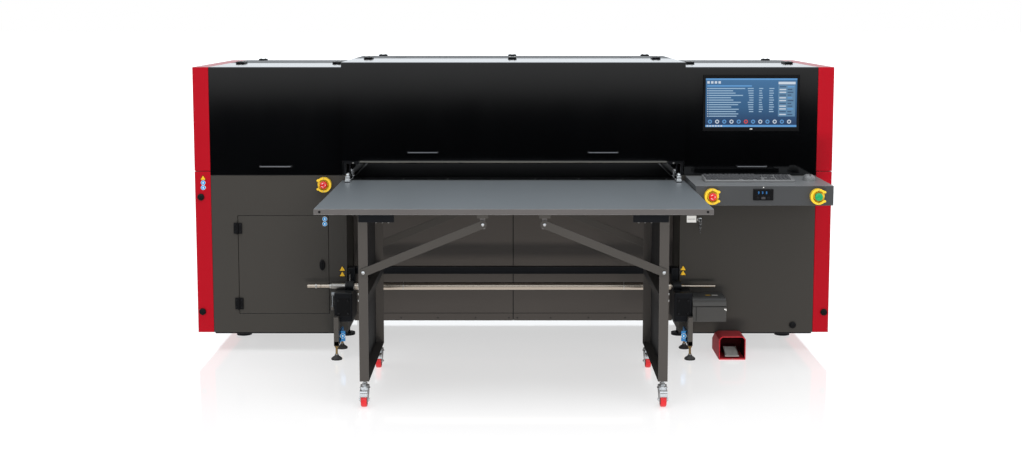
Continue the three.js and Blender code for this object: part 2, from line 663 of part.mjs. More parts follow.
function tableTop() {
  const ys = [TABLE_FRONT, TABLE_REAR];
  const zs = [BED_TOP - TABLE_LIP, BED_TOP];
  const outside = box([-TABLE_HALF_WIDTH, TABLE_HALF_WIDTH], ys, zs);
  const insideX = [-TABLE_HALF_WIDTH + SHEET, TABLE_HALF_WIDTH - SHEET];
  const inside = box(insideX, grow(ys, -SHEET), [zs[0] - 5, zs[1] - SHEET]);
  const tools = [inside];
  const pieces = [];
  for (const [, side] of SIDES) {
    // Rebate under the dock clamp, open towards the bed.
    const rebateY = [DOCK_FRONT - 3, TABLE_REAR + 1];
    tools.push(wideBox(side * DOCK_X, DOCK_WIDTH + 6, rebateY, grow([BED_TOP, BED_TOP], DOCK_REBATE)));
    // Cross bearers that carry the legs, and the hangers of the braces.
    const bearerX = span(side, LEG_OUTER_X - LEG_FLANGE - 60, LEG_OUTER_X + 8);
    pieces.push(box(bearerX, [LEG_FRONT - 4, LEG_REAR + 4], [zs[0], zs[1] - 1]));
    for (const y of [LEG_FRONT, LEG_REAR - 20]) {
      pieces.push(wideBox(side * BRACE_HEAD_X, 22, [y, y + 20], [braceHeadZ - 22, zs[1] - 1]));
    }
  }
  return join(cut(outside, ...tools), ...pieces);
}

// Folded side frame: web on the outside, flanges towards the middle of the table, open inwards.
function tableLeg(side) {
  const flange = span(side, LEG_OUTER_X - LEG_FLANGE, LEG_OUTER_X);
  const hollowX = span(side, LEG_OUTER_X - LEG_FLANGE - 5, LEG_OUTER_X - SHEET);
  const ys = [LEG_FRONT, LEG_REAR];
  const zs = [LEG_BOTTOM, LEG_BOTTOM + legHeight];
  const hollowY = grow(ys, -SHEET);
  const lowHollow = box(hollowX, hollowY, [zs[0] + SHEET, LEG_MID_RAIL_Z - LEG_MID_RAIL / 2]);
  const highHollow = box(hollowX, hollowY, [LEG_MID_RAIL_Z + LEG_MID_RAIL / 2, zs[1] - SHEET]);
  const bearerX = span(side, LEG_OUTER_X - LEG_TOP_PLATE, LEG_OUTER_X - 1);
  const bearerZ = [zs[1] - 41, zs[1] - 1];
  return join(
    cut(box(flange, ys, zs), lowHollow, highHollow),
    box(bearerX, [ys[0] + 6, ys[0] + 66], bearerZ),
    box(bearerX, [ys[1] - 66, ys[1] - 6], bearerZ),
  );
}

// Flat bar with round ends from the leg up to the hanger.
function braceBar(side) {
  const foot = new THREE.Vector2(side * (LEG_OUTER_X - BRACE_FOOT_INSET), BRACE_FOOT_Z);
  const head = new THREE.Vector2(side * BRACE_HEAD_X, braceHeadZ);
  const along = head.clone().sub(foot);
  const start = Math.atan2(along.y, along.x) + Math.PI / 2;
  const steps = 8;
  const points = [];
  for (const [centre, from] of [[foot, start], [head, start + Math.PI]]) {
    for (let i = 0; i <= steps; i += 1) {
      const a = from + (Math.PI * i) / steps;
      points.push([centre.x + (BRACE_WIDTH / 2) * Math.cos(a), centre.y + (BRACE_WIDTH / 2) * Math.sin(a)]);
    }
  }
  return profileY(points, 0, BRACE_THICKNESS);
}

function casterFork() {
  const half = WHEEL_WIDTH / 2 + 2;
  const hubZ = WHEEL_RADIUS;
  const bridgeZ = 2 * WHEEL_RADIUS + 6;
  const trail = -CASTER_TRAIL;
  const cheek = [
    [trail - 12, hubZ - 10],
    [trail + 12, hubZ - 10],
    [26, bridgeZ - 8],
    [26, bridgeZ + 8],
    [trail - 20, bridgeZ + 8],
  ];
  return join(
    profileX(cheek, -half - CHEEK, -half),
    profileX(cheek, half, half + CHEEK),
    box([-half - 1, half + 1], [trail - 20, 26], [bridgeZ + 2, bridgeZ + 8]),
    box([-12, 12], [-BRAKE_REACH, trail - 16], [bridgeZ - 4, bridgeZ + 4]),
    rod("z", 22, bridgeZ + 7, bridgeZ + 20, 0, 0, 20),
    rod("z", 8, bridgeZ + 19, LEG_BOTTOM - GAP, 0, 0, 12),
  );
}

function casterWheel() {
  const half = WHEEL_WIDTH / 2;
  const outline = [
    [-half - 1.5, 0],
    [-half - 1.5, 10],
    [-half, 10],
    [-half, WHEEL_RADIUS - 4],
    [-half + 4, WHEEL_RADIUS],
    [half - 4, WHEEL_RADIUS],
    [half, WHEEL_RADIUS - 4],
    [half, 10],
    [half + 1.5, 10],
    [half + 1.5, 0],
  ];
  return turnedX(outline);
}

function addTable() {
  const table = groupAt(0, 0, 0);
  add("table_top", tableTop(), "sheet", table);
  for (const [name, side] of SIDES) {
    add("table_leg_" + name, tableLeg(side), "sheet", table);
    const braceY = LEG_FRONT - GAP - BRACE_THICKNESS;
    add("table_brace_" + name, braceBar(side), "sheet", table, [0, braceY, 0]);
    const rows = [
      ["front", LEG_FRONT + CASTER_STEM_INSET + 8],
      ["rear", LEG_REAR - CASTER_STEM_INSET - 8],
    ];
    for (const [row, stemY] of rows) {
      const caster = groupAt(side * (LEG_OUTER_X - LEG_FLANGE / 2), stemY, 0, table);
      add(row + "_caster_fork_" + name, casterFork(), "steel", caster);
      const at = [0, -CASTER_TRAIL, WHEEL_RADIUS];
      add(row + "_caster_wheel_" + name, casterWheel(), "red", caster, at);
    }
  }
}

// ---------------------------------------------------------------- roll supports and shaft

function rollSupport(side) {
  const xs = span(side, SUPPORT_INNER_X, SUPPORT_OUTER_X);
  const boreRadius = (side < 0 ? SLEEVE_RADIUS : SHAFT_END_RADIUS) + SHAFT_RUNNING_GAP;
  const chuckX = span(side, SUPPORT_INNER_X, SUPPORT_INNER_X + 46);
  const postX = span(side, SUPPORT_OUTER_X - 27, SUPPORT_OUTER_X - 1);
  const footX = side * (SUPPORT_OUTER_X - 14);
  const armY = [SUPPORT_FRONT - 42, SUPPORT_REAR + 10];
  const insideX = span(side, SUPPORT_INNER_X, RECESS_HALF_WIDTH - 4);
  const pieces = [
    box(xs, [SUPPORT_FRONT, -2], [SUPPORT_BOTTOM, SUPPORT_TOP]),
    box(insideX, [-3, SUPPORT_REAR], [SUPPORT_BOTTOM, TIE_BAR_Z + TIE_BAR / 2]),
    rod("x", CHUCK_RADIUS, ...chuckX, SHAFT_Y, SHAFT_Z, 24),
    box(postX, [armY[0], armY[0] + 27], [60, SUPPORT_BOTTOM + 34]),
    box(postX, [armY[0] + 20, SUPPORT_FRONT + 5], [SUPPORT_BOTTOM, SUPPORT_BOTTOM + 30]),
    box(postX, armY, [76, 102]),
  ];
  for (const y of [armY[0] + 13.5, armY[1] - 13.5]) {
    pieces.push(rod("z", 6, 18, 80, footX, y, 12));
    pieces.push(rod("z", 30, 0, 20, footX, y, 20));
  }
  const bore = rod("x", boreRadius, xs[0] - 5, xs[1] + 5, SHAFT_Y, SHAFT_Z, 20);
  return cut(join(...pieces), bore);
}

function addRollHolder() {
  for (const [name, side] of SIDES) {
    add("roll_support_" + name, rollSupport(side), "black");
  }
  const half = SUPPORT_INNER_X - GAP;
  const barY = [SUPPORT_REAR - TIE_BAR, SUPPORT_REAR];
  const barZ = [TIE_BAR_Z - TIE_BAR / 2, TIE_BAR_Z + TIE_BAR / 2];
  add("roll_tie_bar", box([-half, half], barY, barZ), "black");

  const inner = SUPPORT_INNER_X;
  const leftEnd = -SUPPORT_OUTER_X - SHAFT_LEFT_REACH;
  const rightEnd = SUPPORT_OUTER_X + SHAFT_RIGHT_REACH;
  const outline = [
    [leftEnd, 0],
    [leftEnd, 9],
    [leftEnd + 2, 10],
    [-inner - 122, 10],
    [-inner - 122, SLEEVE_RADIUS],
    [-inner + 4, SLEEVE_RADIUS],
    [-inner + 4, TUBE_RADIUS],
    [inner - 8, TUBE_RADIUS],
    [inner - 8, SHAFT_END_RADIUS],
    [rightEnd - 1, SHAFT_END_RADIUS],
    [rightEnd, SHAFT_END_RADIUS - 1],
    [rightEnd, 0],
  ];
  add("roll_shaft", turnedX(outline), "steel", groupAt(0, SHAFT_Y, SHAFT_Z));

  const lever = groupAt(-SUPPORT_OUTER_X - GAP, SUPPORT_FRONT + 30, SUPPORT_TOP - 10);
  const stem = rod("z", 5, -70, 0, -11, 0, 10);
  const hub = rod("x", 11, -16, 0, 0, 0, 16);
  const knob = rod("z", 9, -88, -66, -11, 0, 14);
  add("chuck_lever", join(stem, hub, knob), "alloy", lever);

  const motorY = [SUPPORT_FRONT - 12, -2];
  const top = MOTOR_TOP - MOTOR_BOTTOM;
  const curve = 42; // radius of the front top edge
  const side = [
    [0, 0],
    [motorY[1] - motorY[0], 0],
    [motorY[1] - motorY[0], top],
  ];
  for (let i = 0; i <= 6; i += 1) {
    const a = Math.PI / 2 + (Math.PI / 2) * (i / 6);
    side.push([curve + curve * Math.cos(a), top - curve + curve * Math.sin(a)]);
  }
  const at = [SUPPORT_OUTER_X + GAP, motorY[0], MOTOR_BOTTOM];
  add("roll_motor_box", profileX(side, 0, MOTOR_WIDTH), "sheet", printer, at);
}

// ---------------------------------------------------------------- foot pedal

function addPedal() {
  const length = PEDAL_REAR - PEDAL_FRONT;
  const pedal = groupAt(RECESS_HALF_WIDTH + PEDAL_OUTSET + PEDAL_WIDTH / 2, PEDAL_FRONT, 0);
  const half = PEDAL_WIDTH / 2;
  const roof = length * 0.55;
  const side = [
    [0, 0],
    [length, 0],
    [length, PEDAL_REAR_HEIGHT],
    [roof, PEDAL_HEIGHT],
    [0, PEDAL_HEIGHT],
  ];
  const corner = 16; // bevels along the roof
  const frontOutline = [
    [-half, 0],
    [half, 0],
    [half, PEDAL_HEIGHT - corner],
    [half - corner, PEDAL_HEIGHT],
    [-half + corner, PEDAL_HEIGHT],
    [-half, PEDAL_HEIGHT - corner],
  ];
  const outside = common(profileX(side, -half, half), profileY(frontOutline, -5, length + 5));
  const wall = PEDAL_WALL;
  const cavity = [
    [-half + wall, wall + 2],
    [half - wall, wall + 2],
    [half - wall, PEDAL_HEIGHT - corner - 2],
    [half - corner - 3, PEDAL_HEIGHT - wall],
    [-half + corner + 3, PEDAL_HEIGHT - wall],
    [-half + wall, PEDAL_HEIGHT - corner - 2],
  ];
  add("pedal_hood", cut(outside, profileY(cavity, -10, roof)), "red", pedal);

  const treadle = groupAt(0, 14, wall + 14, pedal);
  const rise = THREE.MathUtils.degToRad(14);
  const plate = box([-38, 38], [-6, roof - 30], [-4, 3]);
  add("pedal_treadle", plate, "alloy", treadle).rotation.x = rise;
}

addBody();
addMonitor();
addDoor();
addGantry();
addInkTanks();
addBed();
addGuideRoller();
addConsole();
addDockClamps();
addTable();
addRollHolder();
addPedal();

export default printer;
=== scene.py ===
# Flatbed UV printer with a roll-fed front table: the finished look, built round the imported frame.
# Sizes are in millimetres unless a name says otherwise; the origin is on the floor, and Y = 0 is
# the front plane of the side cabinets.
import json
import math
import bmesh
import bpy
from mathutils import Matrix, Vector


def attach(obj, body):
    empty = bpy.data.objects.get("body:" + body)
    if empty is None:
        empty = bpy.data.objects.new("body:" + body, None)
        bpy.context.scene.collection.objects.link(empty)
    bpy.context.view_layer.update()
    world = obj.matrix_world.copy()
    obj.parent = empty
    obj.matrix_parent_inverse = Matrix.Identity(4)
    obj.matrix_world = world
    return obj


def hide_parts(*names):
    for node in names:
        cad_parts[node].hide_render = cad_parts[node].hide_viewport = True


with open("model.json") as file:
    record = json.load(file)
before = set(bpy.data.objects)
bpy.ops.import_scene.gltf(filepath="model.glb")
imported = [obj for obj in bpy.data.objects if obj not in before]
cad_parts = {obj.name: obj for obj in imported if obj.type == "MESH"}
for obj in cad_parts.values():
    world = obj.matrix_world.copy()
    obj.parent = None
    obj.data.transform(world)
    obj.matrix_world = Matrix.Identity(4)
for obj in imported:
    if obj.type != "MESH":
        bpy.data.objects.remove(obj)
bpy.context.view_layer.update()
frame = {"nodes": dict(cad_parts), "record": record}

scene = bpy.context.scene
nodes = frame["nodes"]
BODY_OF = {node: body for body, held in frame["record"]["behaviour"]["bodies"].items() for node in held}
SIDES = (("left", -1), ("right", 1))
MM = 0.001

# ------------------------------------------------------------------ studio
# A pale floor, a soft white surround, a large top light and a low front fill. The camera stands
# 7.6 m in front of the cabinets, a little above the hoods, tilted slightly down.

CAMERA_PLACE = (-0.0124, -7.6, 1.862)
CAMERA_TILT = math.radians(6.21)
CAMERA_LENS = 49.49
CAMERA_SHIFT = -0.0587
FLOOR_HALF = 120.0
MIRRORED_LOW, MIRRORED_HIGH = -0.7, 0.3  # heights of the surround between which gloss fades


def ramp_node(tree, stops, source):
    ramp = tree.nodes.new("ShaderNodeValToRGB")
    elements = ramp.color_ramp.elements
    while len(elements) < len(stops):
        elements.new(0.5)
    for element, (place, value) in zip(elements, stops):
        element.position = place
        element.color = (*value, 1) if isinstance(value, tuple) else (value, value, value, 1)
    tree.links.new(source, ramp.inputs[0])
    return ramp.outputs[0]


def mix_colour(tree, factor, a, b):
    mix = tree.nodes.new("ShaderNodeMix")
    mix.data_type = "RGBA"
    for label, value in (("Factor", factor), ("A", a), ("B", b)):
        if isinstance(value, tuple):
            mix.inputs[label].default_value = (*value, 1)
        elif isinstance(value, (int, float)):
            mix.inputs[label].default_value = value
        else:
            tree.links.new(value, mix.inputs[label])
    return mix.outputs["Result"]


def studio_world():
    world = bpy.data.worlds.new("studio")
    world.use_nodes = True
    tree = world.node_tree
    back = tree.nodes["Background"]
    place = tree.nodes.new("ShaderNodeTexCoord")
    split = tree.nodes.new("ShaderNodeSeparateXYZ")
    tree.links.new(place.outputs["Generated"], split.inputs[0])
    height = tree.nodes.new("ShaderNodeMapRange")
    height.inputs["From Min"].default_value = MIRRORED_LOW
    height.inputs["From Max"].default_value = MIRRORED_HIGH
    tree.links.new(split.outputs["Z"], height.inputs["Value"])
    # Gloss mirrors a pale floor, a dark band far off on it, and white from just under the horizon.
    gloss = ramp_node(
        tree,
        [(0.0, 0.75), (0.30, 0.62), (0.45, 0.20), (0.55, 0.002), (0.61, 0.002), (0.629, 0.008), (0.635, 0.05),
         (0.640, 0.21), (0.645, 0.45), (0.651, 0.60), (0.66, 0.78), (0.70, (0.92, 0.97, 1.02)),
         (1.0, (1.0, 1.07, 1.13))],
        height.outputs[0],
    )
    soft = ramp_node(tree, [(0.0, 0.45), (0.68, 0.50), (0.75, 0.62), (1.0, 0.75)], height.outputs[0])
    path = tree.nodes.new("ShaderNodeLightPath")
    mirrored = mix_colour(tree, path.outputs["Is Glossy Ray"], soft, gloss)
    seen = mix_colour(tree, path.outputs["Is Camera Ray"], mirrored, (1.0, 1.0, 1.0))
    tree.links.new(seen, back.inputs["Color"])
    scene.world = world


def studio_floor():
    material = bpy.data.materials.new("pale_floor")
    material.use_nodes = True
    shader = material.node_tree.nodes["Principled BSDF"]
    shader.inputs["Base Color"].default_value = (0.50, 0.50, 0.505, 1)
    shader.inputs["Roughness"].default_value = 0.06
    shader.inputs["Specular IOR Level"].default_value = 0.85
    shader.inputs["Emission Color"].default_value = (1, 1, 1, 1)
    shader.inputs["Emission Strength"].default_value = 0.60
    mesh = bpy.data.meshes.new("floor")
    half = FLOOR_HALF
    corners = [(-half, -half, 0), (half, -half, 0), (half, half, 0), (-half, half, 0)]
    mesh.from_pydata(corners, [], [(0, 1, 2, 3)])
    mesh.materials.append(material)
    floor = bpy.data.objects.new("floor", mesh)
    scene.collection.objects.link(floor)
    floor.visible_glossy = False
    floor.visible_shadow = False


def area_light(name, place, target, size, power, colour=(1, 1, 1)):
    light = bpy.data.lights.new(name, "AREA")
    light.shape = "RECTANGLE"
    light.size, light.size_y = size
    light.energy = power
    light.color = colour
    holder = bpy.data.objects.new(name, light)
    holder.location = place
    holder.rotation_euler = (Vector(target) - Vector(place)).to_track_quat("-Z", "Y").to_euler()
    holder.visible_glossy = False
    scene.collection.objects.link(holder)


def studio_camera():
    lens = bpy.data.cameras.new("camera")
    lens.sensor_width = 36
    lens.lens = CAMERA_LENS
    lens.shift_y = CAMERA_SHIFT
    lens.clip_end = 400
    camera = bpy.data.objects.new("camera", lens)
    camera.location = CAMERA_PLACE
    camera.rotation_euler = (math.pi / 2 - CAMERA_TILT, 0, 0)
    scene.collection.objects.link(camera)
    scene.camera = camera


scene.view_settings.view_transform = "Standard"
studio_world()
studio_floor()
studio_camera()
area_light("top_softbox", (0, -1.8, 4.6), (0, -0.3, 0.9), (6.0, 2.5), 110)
area_light("low_front_fill", (0.6, -5.6, -1.5), (0.1, 0, 0.5), (1.8, 0.6), 165, (1, 0.96, 0.91))
area_light("front_fill", (0.5, -6.5, 2.2), (0, 0, 0.8), (4.0, 1.5), 60)
area_light("rear_fill", (0, 5.5, 3.4), (0, 1.2, 0.9), (5.0, 2.5), 90)

# ------------------------------------------------------------------ base frame
# Welded square tube ladder on turned levelling feet, powder coated black, bolted under both
# cabinets. Its feet, toes and posts show past the covers.


def group_tree(name, sockets_in, sockets_out):
    group = bpy.data.node_groups.new(name, "ShaderNodeTree")
    for label, value in sockets_in:
        socket = group.interface.new_socket(label, in_out="INPUT", socket_type="NodeSocketFloat")
        socket.default_value = value
    for label in sockets_out:
        group.interface.new_socket(label, in_out="OUTPUT", socket_type="NodeSocketFloat")
    return group, group.nodes.new("NodeGroupInput"), group.nodes.new("NodeGroupOutput")


def math_node(tree, operation, *values, clamp=False):
    node = tree.nodes.new("ShaderNodeMath")
    node.operation = operation
    node.use_clamp = clamp
    for socket, value in zip(node.inputs, values):
        if isinstance(value, (int, float)):
            socket.default_value = value
        else:
            tree.links.new(value, socket)
    return node.outputs[0]


def object_place(tree, stretch=None):
    place = tree.nodes.new("ShaderNodeTexCoord").outputs["Object"]
    if not stretch:
        return place
    mapping = tree.nodes.new("ShaderNodeMapping")
    mapping.inputs["Scale"].default_value = stretch
    tree.links.new(place, mapping.inputs["Vector"])
    return mapping.outputs[0]


def noise_node(tree, scale, detail=3.0, stretch=None):
    noise = tree.nodes.new("ShaderNodeTexNoise")
    noise.inputs["Detail"].default_value = detail
    tree.links.new(object_place(tree, stretch), noise.inputs["Vector"])
    if isinstance(scale, (int, float)):
        noise.inputs["Scale"].default_value = scale
    else:
        tree.links.new(scale, noise.inputs["Scale"])
    return noise.outputs[0]


def grain_group():
    """Orange peel of sprayed or powder paint as a height, and broad slow tone changes."""
    group, entry, leave = group_tree("paint_grain", [("Peel Scale", 700), ("Tone Scale", 1.4)],
                                     ["Height", "Tone"])
    group.links.new(noise_node(group, entry.outputs["Peel Scale"], 2.0), leave.inputs["Height"])
    group.links.new(noise_node(group, entry.outputs["Tone Scale"], 4.0), leave.inputs["Tone"])
    return group


def wear_and_highlight_group():
    """Mask of the outside edges, broken up by a noise: rubbed, lighter wear in the paints, a painted
    highlight in the coats with a painted sheen.
    """
    group, entry, leave = group_tree("edge_wear", [("Radius", 0.003), ("Amount", 0.5)], ["Mask"])
    bevel = group.nodes.new("ShaderNodeBevel")
    bevel.samples = 4
    group.links.new(entry.outputs["Radius"], bevel.inputs["Radius"])
    normal = group.nodes.new("ShaderNodeNewGeometry").outputs["Normal"]
    dot = group.nodes.new("ShaderNodeVectorMath")
    dot.operation = "DOT_PRODUCT"
    group.links.new(bevel.outputs[0], dot.inputs[0])
    group.links.new(normal, dot.inputs[1])
    edge = math_node(group, "SUBTRACT", 1.0, dot.outputs["Value"], clamp=True)
    strong = math_node(group, "MULTIPLY", edge, 5.0, clamp=True)
    broken = math_node(group, "MULTIPLY", strong, noise_node(group, 35.0, 4.0))
    mask = math_node(group, "MULTIPLY", broken, entry.outputs["Amount"], clamp=True)
    group.links.new(mask, leave.inputs["Mask"])
    return group


def dust_group():
    """Mask of the thin dust that lies on upward faces."""
    group, entry, leave = group_tree("settled_dust", [("Amount", 0.3)], ["Mask"])
    split = group.nodes.new("ShaderNodeSeparateXYZ")
    normal = group.nodes.new("ShaderNodeNewGeometry").outputs["Normal"]
    group.links.new(normal, split.inputs[0])
    up = math_node(group, "MULTIPLY", split.outputs["Z"], 1.0, clamp=True)
    mixed = math_node(group, "MULTIPLY", up, noise_node(group, 3.0, 6.0))
    mask = math_node(group, "MULTIPLY", mixed, entry.outputs["Amount"], clamp=True)
    group.links.new(mask, leave.inputs["Mask"])
    return group


def brushed_group():
    """Fine lines of ground or drawn metal, stretched by the Along values."""
    group, entry, leave = group_tree(
        "brushed_lines", [("X", 1), ("Y", 1), ("Z", 1), ("Scale", 40)], ["Height", "Tone"]
    )
    join = group.nodes.new("ShaderNodeCombineXYZ")
    for label in "XYZ":
        group.links.new(entry.outputs[label], join.inputs[label])
    scaled = group.nodes.new("ShaderNodeVectorMath")
    scaled.operation = "MULTIPLY"
    group.links.new(object_place(group), scaled.inputs[0])
    group.links.new(join.outputs[0], scaled.inputs[1])
    for label, detail in (("Height", 3.0), ("Tone", 6.0)):
        noise = group.nodes.new("ShaderNodeTexNoise")
        noise.inputs["Detail"].default_value = detail
        group.links.new(scaled.outputs[0], noise.inputs["Vector"])
        group.links.new(entry.outputs["Scale"], noise.inputs["Scale"])
        group.links.new(noise.outputs[0], leave.inputs[label])
    return group


GRAIN = grain_group()
EDGE_WEAR_AND_HIGHLIGHT = wear_and_highlight_group()
DUST = dust_group()
BRUSHED = brushed_group()


def add_group(tree, group, **values):
    node = tree.nodes.new("ShaderNodeGroup")
    node.node_tree = group
    for label, value in values.items():
        node.inputs[label.replace("_", " ")].default_value = value
    return node.outputs


def shade(colour, by):
    return tuple(min(1.0, c * by) for c in colour)


def new_material(name, **sockets):
    material = bpy.data.materials.new(name)
    material.use_nodes = True
    shader = material.node_tree.nodes["Principled BSDF"]
    for label, value in sockets.items():
        shader.inputs[label.replace("_", " ")].default_value = value
    return material, material.node_tree, shader


def bump_into(tree, shader, height, strength, distance):
    bump = tree.nodes.new("ShaderNodeBump")
    bump.inputs["Strength"].default_value = strength
    bump.inputs["Distance"].default_value = distance
    tree.links.new(height, bump.inputs["Height"])
    tree.links.new(bump.outputs[0], shader.inputs["Normal"])


def paint(name, colour, roughness, peel=0.25, peel_scale=700.0, tone=0.10, wear=0.30,
          worn=(0.28, 0.27, 0.26), dust=0.10, coat=0.0, specular=0.5, metallic=0.0):
    """Painted or moulded surface: slow tone changes, fine peel, lighter edges, a little dust."""
    material, tree, shader = new_material(
        name, Metallic=metallic, Coat_Weight=coat, Coat_Roughness=0.05, Specular_IOR_Level=specular
    )
    grain = add_group(tree, GRAIN, Peel_Scale=peel_scale)
    base = mix_colour(tree, grain["Tone"], shade(colour, 1 - tone), shade(colour, 1 + tone))
    base = mix_colour(tree, add_group(tree, EDGE_WEAR_AND_HIGHLIGHT, Amount=wear)["Mask"], base, worn)
    base = mix_colour(tree, add_group(tree, DUST, Amount=dust)["Mask"], base, (0.42, 0.42, 0.42))
    tree.links.new(base, shader.inputs["Base Color"])
    spread = math_node(tree, "MULTIPLY_ADD", grain["Tone"], 0.16, roughness - 0.08)
    tree.links.new(spread, shader.inputs["Roughness"])
    bump_into(tree, shader, grain["Height"], peel, 0.0004)
    return material


def metal(name, colour, roughness, along=(1, 1, 1), scale=40.0, lines=0.10, tone=0.10, dust=0.04):
    """Bare or plated metal with fine lines; along is small on the axis the lines follow."""
    material, tree, shader = new_material(name, Metallic=1.0)
    brushed = add_group(tree, BRUSHED, X=along[0], Y=along[1], Z=along[2], Scale=scale)
    base = mix_colour(tree, brushed["Tone"], shade(colour, 1 - tone), shade(colour, 1 + tone))
    base = mix_colour(tree, add_group(tree, DUST, Amount=dust)["Mask"], base, (0.35, 0.35, 0.35))
    tree.links.new(base, shader.inputs["Base Color"])
    spread = math_node(tree, "MULTIPLY_ADD", brushed["Tone"], 0.2, roughness - 0.1)
    tree.links.new(spread, shader.inputs["Roughness"])
    bump_into(tree, shader, brushed["Height"], lines, 0.0003)
    return material


def smooth_by_angle(mesh, angle=38):
    mesh.polygons.foreach_set("use_smooth", [True] * len(mesh.polygons))
    mesh.set_sharp_from_angle(angle=math.radians(angle))


def settle(name, mesh, body, replaces=()):
    """Puts a finished mesh in place on its body, and hides the nodes it stands for."""
    piece = bpy.data.objects.new(name, mesh)
    scene.collection.objects.link(piece)
    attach(piece, body)
    if replaces:
        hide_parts(*replaces)
    return piece


def rounded(mesh, width=0.0, segments=2, angle=30):
    """The mesh with its sharp corners rounded by width and its flat faces shaded flat."""
    holder = bpy.data.objects.new("holder", mesh)
    scene.collection.objects.link(holder)
    if width:
        bevel = holder.modifiers.new("round", "BEVEL")
        bevel.width = width * MM
        bevel.segments = segments
        bevel.limit_method = "ANGLE"
        bevel.angle_limit = math.radians(angle)
    even = holder.modifiers.new("even", "WEIGHTED_NORMAL")
    even.keep_sharp = not width
    graph = bpy.context.evaluated_depsgraph_get()
    result = bpy.data.meshes.new_from_object(holder.evaluated_get(graph))
    result.name = mesh.name
    bpy.data.objects.remove(holder)
    return result


def refined(node, width, material, segments=2, angle=30):
    """A merged copy of a CAD node with its corners rounded by width, which stands for the node."""
    source = nodes[node]
    bm = bmesh.new()
    bm.from_mesh(source.data)
    bmesh.ops.remove_doubles(bm, verts=bm.verts, dist=2e-5)
    bmesh.ops.dissolve_limit(bm, angle_limit=math.radians(0.4), verts=bm.verts, edges=bm.edges)
    for face in bm.faces:
        face.material_index = 0
    mesh = bpy.data.meshes.new(node + "_finished")
    bm.to_mesh(mesh)
    bm.free()
    mesh.materials.clear()
    mesh.materials.append(material)
    smooth_by_angle(mesh, angle)
    result = rounded(mesh, width, segments, angle)
    return settle(node + "_finished", result, BODY_OF[node], (node,))


BLACK_PAINT = paint("black_powder_coat", (0.0034, 0.0038, 0.0052), 0.42, worn=(0.08, 0.08, 0.08),
                    specular=0.2)
BLACK_PLASTIC = paint("black_plastic", (0.003, 0.003, 0.0035), 0.42, peel_scale=1400, wear=0.08, dust=0.03,
                      worn=(0.10, 0.10, 0.10), specular=0.16)
refined("base_frame", 3, BLACK_PAINT)

# ------------------------------------------------------------------ lower cabinets
# Folded steel cabinets either side of the leg room, powder coated warm dark grey and bolted to the
# base frame. Fine texture, softly rounded folds, a join line under the red columns.

GREY_PAINT = paint("warm_grey_powder_coat", (0.036, 0.033, 0.029), 0.48, peel=0.35, worn=(0.13, 0.12, 0.11),
                   specular=0.3)
for node in ("left_cabinet_shell", "right_cabinet_shell"):
    refined(node, 1.6, GREY_PAINT)


